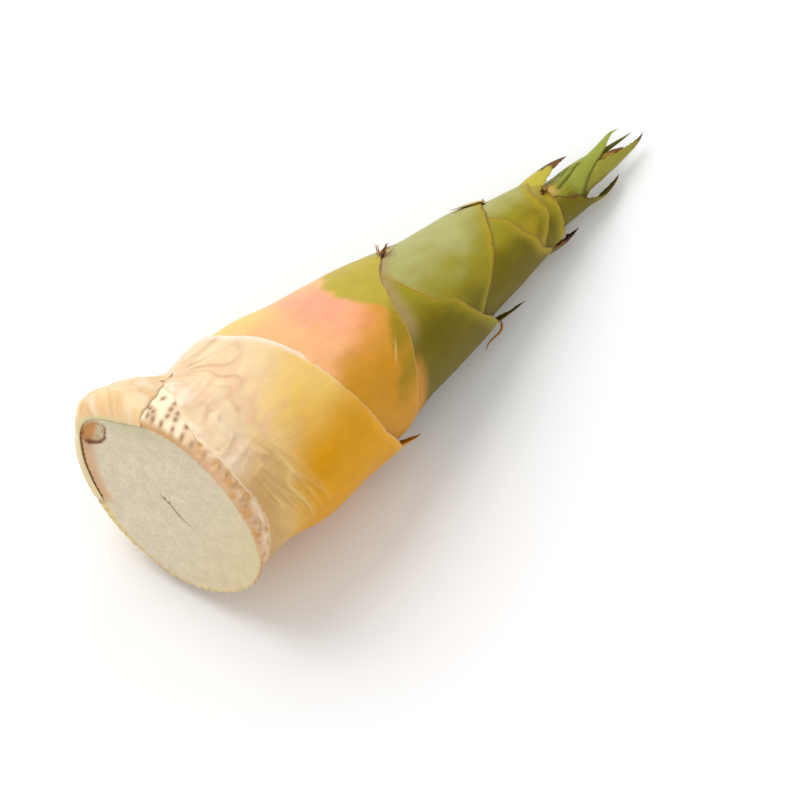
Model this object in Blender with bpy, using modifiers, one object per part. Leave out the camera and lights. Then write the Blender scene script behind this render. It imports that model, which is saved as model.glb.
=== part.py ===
"""Cut bamboo shoot lying on its side: a solid fleshy culm wrapped in overlapping culm sheaths.

Every sheath is one leaf with its own short blade. It grows from its own ring on the culm, wraps
nearly all the way round, and ends in a slanted edge that is highest at the blade. The sheaths nest
like drinking cups, with the oldest outside, and their blades stand in two ranks.

Heights run in millimetres along the shoot's axis from the middle of the cut face. Angles run in
degrees round that axis, right-handed towards the tip. The world origin is under the middle of the
shoot, on the surface that it lies on. +X points from the cut towards the tip and +Z is up.
"""

import math
from collections import namedtuple

import bmesh
import bpy
from mathutils import Matrix, Vector

MM = 0.001
MERGE = 0.01  # corners closer together than this are one corner
SHARP_ANGLE = 40.0  # corners sharper than this stay sharp when shaded

# Outline of the wrapped shoot: (height, radius), from below the cut to the tip.
OUTLINE = (
    (-14, 41.5),
    (0, 42.2),
    (8, 41.6),
    (20, 39.4),
    (32, 38.2),
    (50, 40.1),
    (69, 38.0),
    (97, 33.8),
    (131, 27.1),
    (158, 22.0),
    (176, 18.2),
    (194, 13.9),
    (210, 10.4),
    (223, 8.4),
    (242, 4.8),
    (262, 2.0),
)
SWAY = ((100, 0.0), (160, 1.3), (262, 1.5))  # how far the axis has swayed towards 0 degrees
CUT_SLANT = 10.0  # the knife ran this far off square, leaving the blade rank at 0 degrees longer
UP_ANGLE = 67.2  # this angle round the axis faces straight up
DIP = math.atan(0.1745)  # the axis drops towards the tip by this angle, in radians
REST_HEIGHT = 67.0  # height of the point where the belly rests
REST_RADIUS = 37.5  # distance of the surface that it rests on from the axis there
BELLY_SHARE = 0.5  # only what faces down by more than this share of straight down is pressed flat
MIDDLE = (62.2, 3.6)  # from that resting point to the middle of the shoot, in plan

# All the sheaths have corners at these heights and columns only, so that nested facets lie
# parallel. A column is the line along the shoot at one angle.
STATIONS = (8, 15, 25, 36, 46, 56, 67, 79, 91, 103, 115, 127, 138, 149, 160, 171, 182, 190, 194,
            198, 203, 207, 212, 217, 223, 229, 236)
COLUMNS = 24
COLUMN_STEP = 360.0 / COLUMNS
COLUMN_ZERO = UP_ANGLE + 180.0 + COLUMN_STEP / 2
EDGE_CLEAR = 2.0  # no corner is left this close below a sheath's edge
SEAM = 0.15  # a sheath's margins stop this share of a column short of each other
GAP = 0.35  # clearance between nested sheaths
LEDGE_GAP = 0.8  # between a sheath's foot and the ring on the culm that carries it
COVER_FULL = 1.0  # a sheath pushes in what it wraps fully up to this many stations past its edge
COVER_FADE = 1.5  # and over this many more stations the push fades out
FLARE_LENGTH = 24.0  # a sheath starts to stand off this far below its apex
FLARE_NARROWNESS = 3  # the higher this is, the closer to its blade the standing off keeps
CULM_TOP = 212.0

# foot: height of the ring it grows from. apex, low: height of its edge at the blade and opposite.
# fullness: above 1 the edge falls away sooner. side: angle of the blade. wall: its thickness.
# flare: how far its apex stands off. blade, half_width: the blade's size. lean, curl: the blade's
# outward angle to the axis at its foot, and how much that angle has grown at its point.
# step: columns between its own corners.
Leaf = namedtuple(
    "Leaf", "name foot apex low fullness side wall flare blade half_width lean curl step"
)
LEAVES = (
    Leaf("sheath_02", 8, 94.5, 56, 1.6, 180, 1.5, 1.2, 5, 4.0, 2, 4, 1),
    Leaf("sheath_03", 46, 131, 96, 1.5, 20, 1.3, 0.4, 6, 3.0, 22, 30, 1),
    Leaf("sheath_04", 79, 159, 114, 1.5, 180, 1.2, 2.4, 13, 3.6, 12, -8, 1),
    Leaf("sheath_05", 103, 183, 149, 1.18, 0, 1.1, 1.5, 7, 3.0, 2, 0, 1),
    Leaf("sheath_06", 138, 196, 174, 1.8, 180, 1.0, 0.8, 13, 3.6, 16, 4, 1),
    Leaf("sheath_07", 160, 204, 192, 1.1, 24, 0.8, 0.8, 15, 4.2, 20, -6, 2),
    Leaf("sheath_08", 182, 209, 200, 1.2, 324, 0.75, 0.0, 8, 3.0, 6, 4, 2),
    Leaf("sheath_09", 190, 223, 203, 1.5, 180, 0.75, 1.4, 13, 3.2, 14, 0, 2),
    Leaf("tip_leaf_10", 194, 218, 205, 1.3, 12, 0.7, 0.0, 34, 4.4, -1, 4, 2),
    Leaf("tip_leaf_11", 198, 229, 211, 1.4, 84, 0.65, 0.0, 9, 2.6, -6, 0, 2),
    Leaf("tip_leaf_12", 203, 233, 214, 1.4, 180, 0.65, 0.0, 24, 2.6, -4, -6, 2),
    Leaf("tip_leaf_13", 207, 236, 218, 1.2, 336, 0.65, 0.0, 19, 2.2, -6, 2, 2),
)
BLADE_ROWS = 4
BLADE_STEPS = 12  # straight steps that a curled blade's middle line is summed over
BLADE_TAPER = 0.9  # share of its width that a blade has lost at its point
BLADE_FULLNESS = 1.3  # above 1 a blade keeps its width for longer
BLADE_CUPPING = 0.3  # a blade's sides bend inwards by this share of their distance from its middle

# Stub of the oldest sheath, trimmed off: its margins at the cut and at the top, and its edge.
STUB_CUT_ANGLES = (-66.0, 46.0)
STUB_TOP_ANGLES = (-62.0, 24.0)
STUB_TOP = 31.0
STUB_WALL = 1.8  # its thickness at the top
STUB_HEEL = 4.4  # it is this much thicker at the cut
STUB_HEEL_SHARE = 0.8  # the heel has thinned out this far up it
STUB_GAP = 0.8  # clearance between it and what it stands on
STUB_COLUMNS = 8
STUB_ROWS = 5
CUT_SPARE = 6.0  # length past the cut that the knife takes off
KNIFE_SIZE = 150.0

# Each material's colour, in linear light, and its roughness.
FINISHES = {
    "flesh": ((0.64, 0.54, 0.35, 1), 0.55),
    "cream_sheath": ((0.85, 0.66, 0.42, 1), 0.5),
    "yellow_sheath": ((0.75, 0.45, 0.12, 1), 0.4),
    "orange_sheath": ((0.75, 0.38, 0.12, 1), 0.4),
    "olive_sheath": ((0.26, 0.23, 0.04, 1), 0.4),
    "green_leaf": ((0.4, 0.42, 0.08, 1), 0.45),
}
# The material of each leaf that isn't a green one.
LEAF_MATERIALS = {
    "sheath_02": "yellow_sheath",
    "sheath_03": "orange_sheath",
    "sheath_04": "olive_sheath",
    "sheath_05": "olive_sheath",
    "sheath_06": "olive_sheath",
}


def smooth(x):
    """Rises from 0 to 1 as x does, level at both ends."""
    x = min(1.0, max(0.0, x))
    return x * x * (3 - 2 * x)


def through(stations, x):
    """A smooth curve through the stations, (position, value), read at x."""
    last = len(stations) - 2
    k = next((i for i in range(last) if x < stations[i + 1][0]), last)

    def slope(i):
        before, after = stations[max(i - 1, 0)], stations[min(i + 1, last + 1)]
        return (after[1] - before[1]) / (after[0] - before[0])

    (x0, y0), (x1, y1) = stations[k], stations[k + 1]
    run = x1 - x0
    s = (x - x0) / run
    return (
        y0 * (1 + 2 * s) * (1 - s) ** 2
        + y1 * s * s * (3 - 2 * s)
        + run * (slope(k) * s * (1 - s) ** 2 - slope(k + 1) * s * s * (1 - s))
    )


def radius_of_rest(height, angle):
    """Distance from the axis to the surface that the shoot lies on, infinite away from it."""
    below = -math.cos(math.radians(angle - UP_ANGLE))
    if below <= BELLY_SHARE:
        return math.inf
    return (REST_RADIUS - (height - REST_HEIGHT) * math.tan(DIP)) / below


def wrapped_radius(height, angle):
    """Radius of the whole wrapped shoot, pressed flat where it lies on the surface below it."""
    sway = through(SWAY, max(SWAY[0][0], height)) * math.cos(math.radians(angle))
    return min(through(OUTLINE, height) + sway, radius_of_rest(height, angle))


def towards_blade(leaf, angle):
    """1 at the angle of a sheath's blade, falling smoothly to 0 on the opposite side."""
    return (1 + math.cos(math.radians(angle - leaf.side))) / 2


def edge_height(leaf, angle):
    """Height of a sheath's slanted edge: highest at its blade and lowest opposite."""
    return leaf.low + (leaf.apex - leaf.low) * towards_blade(leaf, angle) ** leaf.fullness


def stand_off(leaf, height, angle):
    """How far a sheath stands off what it wraps, near its apex."""
    rise = smooth(1 + (height - leaf.apex) / FLARE_LENGTH)
    return leaf.flare * rise * towards_blade(leaf, angle) ** FLARE_NARROWNESS


def station_count(height):
    """How many stations lie up to this height, counting part of the last interval as a part."""
    last = len(STATIONS) - 2
    k = next((i for i in range(last) if height < STATIONS[i + 1]), last)
    return k + (height - STATIONS[k]) / (STATIONS[k + 1] - STATIONS[k])


def room_taken(leaf, k, angle):
    """How far a sheath pushes in what it wraps at station k. It fades out beyond its edge."""
    beyond = k - station_count(edge_height(leaf, angle))
    return (leaf.wall + GAP) * min(1.0, max(0.0, (COVER_FULL + COVER_FADE - beyond) / COVER_FADE))


def nested_radius(leaves, height, angle):
    """Outer radius of what these sheaths wrap: set at the stations and straight between them."""
    last = len(STATIONS) - 2
    k = min(last, max(0, int(station_count(height))))
    ends = [
        wrapped_radius(STATIONS[i], angle) - sum(room_taken(leaf, i, angle) for leaf in leaves)
        for i in (k, k + 1)
    ]
    part = (height - STATIONS[k]) / (STATIONS[k + 1] - STATIONS[k])
    return ends[0] + (ends[1] - ends[0]) * part


def around(angle):
    """(outward, sideways) unit vectors of the shoot's frame at an angle round its axis."""
    turn = math.radians(angle - UP_ANGLE)
    outward = Vector((0, -math.sin(turn), math.cos(turn)))
    sideways = Vector((0, -math.cos(turn), -math.sin(turn)))
    return outward, sideways


def place(height, angle, radius):
    """The point of the shoot's frame at this height, angle and radius, in metres."""
    outward, _ = around(angle)
    return (Vector((height, 0, 0)) + outward * radius) * MM


def material(name):
    """The Principled material of this name, made once."""
    if name in bpy.data.materials:
        return bpy.data.materials[name]
    colour, roughness = FINISHES[name]
    made = bpy.data.materials.new(name)
    made.use_nodes = True
    shader = made.node_tree.nodes["Principled BSDF"]
    shader.inputs["Base Color"].default_value = colour
    shader.inputs["Roughness"].default_value = roughness
    shader.inputs["Metallic"].default_value = 0.0
    return made


def add_object(name, mesh, collection, parent):
    """Links a mesh as a named object that hangs from the empty which lays the shoot down."""
    made = bpy.data.objects.new(name, mesh)
    collection.objects.link(made)
    made.parent = parent
    return made


def bent_grid(columns, rows, point, keep=lambda column, row: True):
    """A grid whose corners are carried to point(column, row), less what keep refuses.

    Corners that are carried to one place become one corner.
    """
    sheet = bmesh.new()
    bmesh.ops.create_grid(sheet, x_segments=columns, y_segments=rows, size=1.0)
    refused = []
    for vertex in sheet.verts:
        column = round((vertex.co.x + 1) / 2 * columns)
        row = round((vertex.co.y + 1) / 2 * rows)
        if keep(column, row):
            vertex.co = point(column, row)
        else:
            refused.append(vertex)
    bmesh.ops.delete(sheet, geom=refused, context="VERTS")
    bmesh.ops.remove_doubles(sheet, verts=sheet.verts, dist=MERGE * MM)
    return sheet


def finish_mesh(name, sheet):
    """Writes the edited faces to a mesh, shaded smooth apart from its sharp corners."""
    mesh = bpy.data.meshes.new(name)
    sheet.to_mesh(mesh)
    sheet.free()
    mesh.shade_smooth()
    mesh.set_sharp_from_angle(angle=math.radians(SHARP_ANGLE))
    return mesh


def solidify(made, wall):
    """Gives the open sheet a wall of this thickness on its inner side."""
    shell = made.modifiers.new("wall", "SOLIDIFY")
    shell.thickness = wall * MM
    shell.offset = -1.0
    shell.use_rim = True
    return shell


def blade_point(leaf, middle, radius, across_share, along):
    """A point of the blade: across_share runs -1 to 1 across it, and along 0 to 1 up it."""
    forward = outwards = 0.0
    for k in range(BLADE_STEPS):
        lean = math.radians(leaf.lean + leaf.curl * along * (k + 0.5) / BLADE_STEPS)
        forward += leaf.blade / BLADE_STEPS * along * math.cos(lean)
        outwards += leaf.blade / BLADE_STEPS * along * math.sin(lean)
    outward, sideways = around(middle)
    width = across_share * leaf.half_width * (1 - BLADE_TAPER * along**BLADE_FULLNESS)
    start = Vector((leaf.apex + forward, 0, 0))
    across = sideways * width - outward * (abs(width) * BLADE_CUPPING)
    return (start + outward * (radius + outwards) + across) * MM


def make_leaf(index, collection, parent):
    """One culm sheath: a blank wrapped round the shoot, with its blade as a tongue at its apex."""
    leaf = LEAVES[index]
    outer = LEAVES[:index]
    half = COLUMNS // 2 // leaf.step
    step = COLUMN_STEP * leaf.step
    middle = COLUMN_ZERO + step * round((leaf.side - COLUMN_ZERO) / step)
    heights = [station for station in STATIONS if leaf.foot <= station < leaf.apex - EDGE_CLEAR]
    rows = len(heights)

    def sheath_point(column, row):
        angle = middle + column * step
        edge = edge_height(leaf, angle)
        height = heights[row] if row < rows and heights[row] < edge - EDGE_CLEAR else edge
        radius = nested_radius(outer, height, angle) + stand_off(leaf, height, angle)
        return place(height, angle, min(radius, radius_of_rest(height, angle)))

    def point(column, row):
        column -= half
        if row > rows:
            radius = nested_radius(outer, leaf.apex, middle) + leaf.flare
            return blade_point(leaf, middle, radius, column, (row - rows) / BLADE_ROWS)
        if abs(column) < half:
            return sheath_point(column, row)
        before = sheath_point(column - math.copysign(1, column), row)
        return before.lerp(sheath_point(column, row), 1 - SEAM / leaf.step)

    def keep(column, row):
        return row <= rows or abs(column - half) <= 1

    sheet = bent_grid(2 * half, rows + BLADE_ROWS, point, keep)
    made = add_object(leaf.name, finish_mesh(leaf.name, sheet), collection, parent)
    made.data.materials.append(material(LEAF_MATERIALS.get(leaf.name, "green_leaf")))
    solidify(made, leaf.wall)


def make_knife(collection, parent):
    """A block whose face is the slanted cut. It takes away all that lies before that face."""
    block = bmesh.new()
    bmesh.ops.create_cube(block, size=KNIFE_SIZE * MM)
    knife = add_object("knife", finish_mesh("knife", block), collection, parent)
    knife.hide_render = True
    knife.display_type = "WIRE"
    _, hinge = around(0.0)
    slant = Matrix.Rotation(math.radians(CUT_SLANT), 4, hinge)
    knife.matrix_local = slant @ Matrix.Translation(Vector((-KNIFE_SIZE / 2 * MM, 0, 0)))
    return knife


def cut_off(made, knife):
    """Cuts the object with the knife."""
    cut = made.modifiers.new("cut", "BOOLEAN")
    cut.operation = "DIFFERENCE"
    cut.solver = "EXACT"
    cut.object = knife


def culm_radius(carried, height):
    """Radius of the round culm inside its first so many sheaths, clear of them all round."""
    angles = [COLUMN_ZERO + COLUMN_STEP * k for k in range(COLUMNS)]
    fit = min(nested_radius(LEAVES[:carried], height, angle) for angle in angles)
    return fit - (GAP if carried else 0.0)


def culm_profile():
    """Half outline of the culm, (radius, height), with a step in at each ring."""
    profile = [(0.0, OUTLINE[0][0]), (OUTLINE[0][1], OUTLINE[0][0]), (OUTLINE[1][1], OUTLINE[1][0])]
    carried = 0
    for height in STATIONS:
        if height > CULM_TOP:
            break
        if carried < len(LEAVES) and LEAVES[carried].foot == height:
            ring = height - LEDGE_GAP
            profile.append((culm_radius(carried, height), ring))
            carried += 1
            profile.append((culm_radius(carried, height), ring))
        profile.append((culm_radius(carried, height), height))
    profile.append((0.0, profile[-1][1]))
    return profile


def make_culm(collection, knife, parent):
    """The solid culm: turned, stepped in at each ring that carries a sheath, and cut on a slant."""
    outline = bmesh.new()
    corners = [outline.verts.new((r * MM, 0, h * MM)) for r, h in culm_profile()]
    for first, second in zip(corners, corners[1:]):
        outline.edges.new((first, second))
    culm = add_object("culm_flesh", finish_mesh("culm_flesh", outline), collection, parent)
    culm.data.materials.append(material("flesh"))
    turned = culm.modifiers.new("turn", "SCREW")
    turned.steps = turned.render_steps = COLUMNS
    turned.use_merge_vertices = True
    turned.merge_threshold = MERGE * MM
    turned.use_normal_calculate = True
    # The profile turns round Z. It is laid along X with its corners on the sheaths' columns.
    spin = Matrix.Rotation(math.radians(UP_ANGLE - COLUMN_ZERO), 4, "X")
    culm.matrix_local = spin @ Matrix.Rotation(math.radians(90), 4, "Y")
    cut_off(culm, knife)


def make_stub(collection, knife, parent):
    """What is left of the oldest sheath: a thick-heeled strip that stands on the cut's long side."""

    def thickness(up):
        return STUB_WALL + STUB_HEEL * (1 - smooth(up / STUB_HEEL_SHARE))

    def point(column, row):
        up = row / STUB_ROWS
        low, high = (
            cut + (top - cut) * up for cut, top in zip(STUB_CUT_ANGLES, STUB_TOP_ANGLES)
        )
        angle = low + (high - low) * column / STUB_COLUMNS
        slant = math.tan(math.radians(CUT_SLANT)) * math.cos(math.radians(angle))
        start = -slant * through(OUTLINE, 0) - CUT_SPARE
        height = start + (STUB_TOP - start) * up
        faceted = nested_radius([], max(height, STATIONS[0]), angle)
        under = max(wrapped_radius(height, angle), faceted)
        return place(height, angle, under + STUB_GAP + thickness(up))

    sheet = bent_grid(STUB_COLUMNS, STUB_ROWS, point)
    ups = [index // (STUB_COLUMNS + 1) / STUB_ROWS for index in range(len(sheet.verts))]
    made = add_object("sheath_01_stub", finish_mesh("stub", sheet), collection, parent)
    made.data.materials.append(material("cream_sheath"))
    shell = solidify(made, thickness(0))
    group = made.vertex_groups.new(name="wall")
    for index, up in enumerate(ups):
        group.add([index], thickness(up) / thickness(0), "REPLACE")
    shell.vertex_group = group.name
    cut_off(made, knife)


def lay_down(collection):
    """The empty that carries the whole shoot from its own frame to where it lies."""
    made = bpy.data.objects.new("lying_shoot", None)
    collection.objects.link(made)
    made.location = Vector((-MIDDLE[0], -MIDDLE[1], 0)) * MM
    made.rotation_euler = (0, DIP, 0)
    belly = Vector((REST_HEIGHT, 0, -REST_RADIUS)) * MM
    made.location -= made.rotation_euler.to_matrix() @ belly
    bpy.context.view_layer.update()
    return made


def main():
    for old in list(bpy.data.objects):
        bpy.data.objects.remove(old)
    shoot = bpy.data.collections.new("bamboo_shoot")
    cutters = bpy.data.collections.new("cutters")
    bpy.context.scene.collection.children.link(shoot)
    bpy.context.scene.collection.children.link(cutters)
    parent = lay_down(shoot)
    knife = make_knife(cutters, parent)
    make_culm(shoot, knife, parent)
    make_stub(shoot, knife, parent)
    for index in range(len(LEAVES)):
        make_leaf(index, shoot, parent)


main()
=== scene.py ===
"""Fresh cut bamboo shoot lying on its side, with its culm, sheaths, blades and bristles.

Shoot coordinates: height runs in millimetres along the axis from the middle of the cut, angle in
degrees round the axis, and radius in millimetres from it. Angle 0 is the cut's long side, the
blades stand in two ranks near 0 and 180 degrees, and angle 67.2 faces straight up.
"""

import math
from collections import namedtuple

import bmesh
import bpy
import numpy as np
from bpy.props import FloatProperty, FloatVectorProperty, PointerProperty
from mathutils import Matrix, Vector


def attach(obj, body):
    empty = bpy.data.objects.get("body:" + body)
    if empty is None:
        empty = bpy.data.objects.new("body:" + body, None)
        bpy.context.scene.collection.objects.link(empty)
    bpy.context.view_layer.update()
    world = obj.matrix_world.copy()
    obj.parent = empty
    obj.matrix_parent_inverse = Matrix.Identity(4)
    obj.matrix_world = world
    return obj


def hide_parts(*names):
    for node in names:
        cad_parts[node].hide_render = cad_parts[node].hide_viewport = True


bl_info = {
    "name": "Bamboo shoot",
    "version": (1, 0, 0),
    "blender": (4, 5, 0),
    "location": "3D View > Sidebar > Bamboo shoot",
    "description": "Builds a cut bamboo shoot with its culm sheaths, blades and bristles",
    "category": "Add Mesh",
}

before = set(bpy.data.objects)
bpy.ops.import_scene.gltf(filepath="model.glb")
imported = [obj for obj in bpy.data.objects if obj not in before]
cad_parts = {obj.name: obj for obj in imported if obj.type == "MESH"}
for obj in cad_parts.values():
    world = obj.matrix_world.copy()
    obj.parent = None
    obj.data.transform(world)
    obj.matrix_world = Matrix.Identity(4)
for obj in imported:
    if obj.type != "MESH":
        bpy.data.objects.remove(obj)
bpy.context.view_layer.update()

MM = 0.001
WELD = 0.002 * MM  # points nearer than this are made one

# The shoot's own lines: outline by height, and how far it sways towards angle 0 by height.
OUTLINE = (
    (-14, 41.5), (0, 42.0), (8, 41.0), (20, 38.8), (32, 37.6), (50, 39.4), (60, 38.9), (69, 37.6),
    (84, 34.6), (97, 32.9), (108, 30.7), (116, 29.1), (124, 27.9), (132, 26.4), (144, 23.6),
    (158, 20.9), (168, 19.5), (176, 18.0), (186, 15.6), (194, 14.1), (204, 12.2), (212, 10.0),
)
SWAY = (
    (20, 0.0), (30, -0.4), (69, -0.5), (90, -0.2), (100, 0.2), (112, 1.1), (124, 0.9), (132, 0.5),
    (144, 0.9), (158, 2.2), (168, 2.75), (180, 2.1), (192, 1.65), (212, 1.2),
)
# Radius of the pared cut, by angle.
CUT = (
    (-180, 42.9), (-132, 42.8), (-116, 41.5), (-106, 39.6), (-98, 38.2), (-86, 36.9), (-63, 34.2),
    (-44, 34.6), (-32, 35.8), (-20, 37.2), (-9, 39.2), (3, 40.6), (12, 40.2), (21, 38.8), (32, 37.4),
    (43, 37.4), (64, 37.9), (84, 37.2), (95, 36.7), (108, 36.7), (121, 37.2), (135, 38.6),
    (150, 40.3), (160, 42.0), (180, 42.9),
)
CUT_SLANT = math.radians(10.0)  # how far the cut is out of square
CUT_MEAN = 41.0  # radius at which the cut's own height is measured
DEGREE = 0.72  # one degree round the rim, in millimetres
BEVEL = 4.0  # height over which the pared rim rounds out to the full radius
STUB_MIDDLE = -10.0  # the angle that the foot line and the band of root buds take as the stub's
UP_ANGLE = 67.2  # the angle that faces straight up
BELLY_ANGLE = -113.0  # the angle that faces the floor, to the nearest degree
DIP = math.atan(0.1745)  # how far the axis slopes down to the tip
REST_HEIGHT = 67.0  # where the belly rests on the floor
REST_RADIUS = 37.5  # from the axis to the floor there
BELLY_SHARE = 0.5  # cosine of the angle, either side of straight down, that the floor can press
MIDDLE = (62.2, 3.6)  # from the resting place to the frame's middle: along the floor and across
GAP = 0.12  # between nested sheaths
FADE_LENGTH = 14.0  # past a sheath's edge, what it wraps swells back to the outline over this
CULM_TOP = 200.0  # the culm's closed top, hidden in the bunch of leaves
BLADE_THICKNESS = 0.45  # of a blade or young leaf, in the middle of its base
WALL_LENGTH = 20.0  # below a sheath's edge, its lip thickens to its wall over this

# foot: height where it starts, or None for the foot line. side: the angle of the blade. edge:
# height of the upper edge by degrees away from the blade. wall: thickness well below the edge.
# flare, reach: how far the apex stands off, and from how far below it. columns, rows: the grid.
# slot: the material slot.
Leaf = namedtuple("Leaf", "name foot side edge wall flare reach columns rows slot")
LEAVES = (
    Leaf(
        "sheath_02", None, 180,
        ((0, 93), (11, 88.5), (28, 82), (44, 76.6), (66, 69.9), (80, 66.5), (98, 63.6),
         (114, 60.3), (129, 56.6), (150, 52), (180, 51)),
        1.2, 3.0, 26, 280, 140, "yellow_sheath",
    ),
    Leaf(
        "sheath_03", 40, 32,
        ((0, 127.5), (8, 123.5), (25, 114.5), (43, 109.5), (54, 108.5), (64, 108), (77, 105.3),
         (89, 102.7), (107, 100), (130, 99), (180, 98)),
        1.1, 0.2, 20, 260, 110, "orange_sheath",
    ),
    Leaf(
        "sheath_04", 79, 180,
        ((0, 158.5), (20, 154), (35, 149.8), (46, 144.8), (64, 138.9), (78, 134.2), (85, 127.2),
         (92, 124.6), (106, 120.8), (122, 118.9), (180, 116)),
        1.0, 2.6, 30, 240, 110, "olive_sheath",
    ),
    Leaf(
        "sheath_05", 103, 0,
        ((0, 183.5), (20, 181), (54, 173.1), (82, 166.2), (97, 161.6), (116, 154.5), (134, 147.0),
         (150, 143.5), (180, 141)),
        0.9, 0.4, 20, 220, 100, "olive_sheath",
    ),
    Leaf(
        "sheath_06", 138, 180,
        ((0, 196), (25, 193.5), (47, 189), (68, 186.6), (90, 181.8), (107, 179.2), (125, 173.4),
         (150, 168), (180, 166)),
        0.8, 0.3, 20, 180, 80, "olive_sheath",
    ),
    Leaf(
        "sheath_07", 160, 15,
        ((0, 204), (25, 200), (45, 198.3), (58, 197.8), (66, 197.9), (78, 197), (94, 194.6),
         (105, 192.6), (113, 190.8), (140, 188.5), (180, 187)),
        0.7, 0.3, 20, 170, 70, "green_leaf",
    ),
    Leaf(
        "sheath_08", 182, 350,
        ((0, 206), (60, 204.6), (114, 203.5), (140, 202.9), (164, 202.4), (180, 202)),
        0.65, 0.0, 20, 130, 50, "green_leaf",
    ),
)
NONE_OVER = -99.0  # the covered height of the first sheath, which has none over it
COVERED_ROWS, BARE_ROWS = 0.12, 0.01  # share of the rows for the part that outer sheaths cover
OVERLAP = 8.0  # degrees by which each of a sheath's margins runs past the middle of its back

# Each row: height, reach towards 180 degrees, reach towards 90 degrees, half width, half of the
# angle that the blade wraps round, and the angle that its outer face looks towards.
NINTH = (
    (190, 10.3, 0, 36.6, 175, 180), (200, 9.1, 0, 32.9, 175, 180), (204, 8.6, 0, 21.2, 120, 180),
    (206, 8.4, 0, 17.8, 103, 180), (209.3, 8.0, 0, 15.1, 93, 180), (213, 7.9, 0, 12.3, 80, 180),
    (216.7, 7.8, 0, 10.0, 68, 180), (222, 7.6, 0, 5.5, 43, 182), (226, 7.9, -0.3, 3.7, 38, 188),
    (229, 8.1, -0.6, 3.2, 45, 195), (234, 7.4, -0.8, 2.4, 50, 200), (238, 6.3, -0.5, 1.5, 50, 200),
    (241.5, 4.7, 0, 0.04, 50, 200),
)
TENTH = (
    (196, -10.6, 5.2, 31.7, 175, 30), (205, -9.3, 4.6, 28.0, 175, 30),
    (212, -8.3, 4.2, 21.6, 150, 30), (217, -8.1, 3.9, 14.4, 106, 30),
    (220, -8.2, 3.8, 11.8, 89, 30), (225, -8.3, 3.3, 9.2, 80, 30), (230, -8.0, 2.9, 6.7, 65, 30),
    (235, -7.7, 2.7, 4.4, 47, 30), (240, -8.4, 2.2, 3.3, 40, 26), (244, -9.2, 1.8, 2.3, 40, 22),
    (249, -9.9, 1.2, 1.3, 40, 20), (254, -8.9, 0.6, 0.04, 35, 20),
)
ELEVENTH = (
    (205, -2.1, 7.6, 23.2, 175, 84), (215, -1.9, 6.4, 17.3, 150, 84), (220, -2.2, 5.5, 9.3, 95, 84),
    (226, -3.0, 4.9, 4.4, 50, 84), (232, -3.1, 4.7, 3.2, 40, 80), (238, -3.0, 4.5, 2.5, 34, 76),
    (243, -2.9, 4.1, 1.5, 30, 76), (248, -2.3, 3.7, 0.04, 30, 76),
)
TWELFTH = (
    (203, 6.1, 4.2, 25.6, 175, 150), (215, 5.1, 3.6, 21.4, 170, 150),
    (222, 3.6, 3.1, 15.1, 140, 150), (226, 2.4, 3.0, 11.5, 110, 150),
    (230, 2.0, 2.85, 9.2, 92, 150), (234, 1.9, 2.7, 7.5, 80, 150), (238, 1.5, 2.5, 6.1, 70, 150),
    (242, 1.3, 2.25, 4.7, 60, 150), (246, 0.9, 1.95, 3.8, 56, 150), (250, 0.45, 1.65, 3.0, 52, 150),
    (254, 0.0, 1.3, 2.2, 50, 150), (258, -1.0, 1.1, 1.3, 45, 150),
    (261.3, -2.6, 0.9, 0.04, 40, 150),
)
THIRTEENTH = (
    (207, -8.1, -3.1, 22.0, 170, 336), (220, -7.3, -2.4, 16.7, 160, 336),
    (228, -7.6, -2.1, 8.6, 95, 336), (234, -7.3, -1.9, 5.0, 66, 336),
    (238, -6.8, -1.5, 3.4, 56, 336), (243, -6.4, -1.2, 2.4, 50, 336),
    (249, -5.9, -0.8, 1.6, 50, 336), (254, -5.4, -0.4, 0.8, 50, 336),
    (257.5, -5.1, 0.0, 0.04, 50, 336),
)
DRIED_CURL = ((161, 21.2, -1.6), (159, 24.2, -1.9), (151, 25.4, -2.5), (147.5, 27.4, -2.5))
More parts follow.
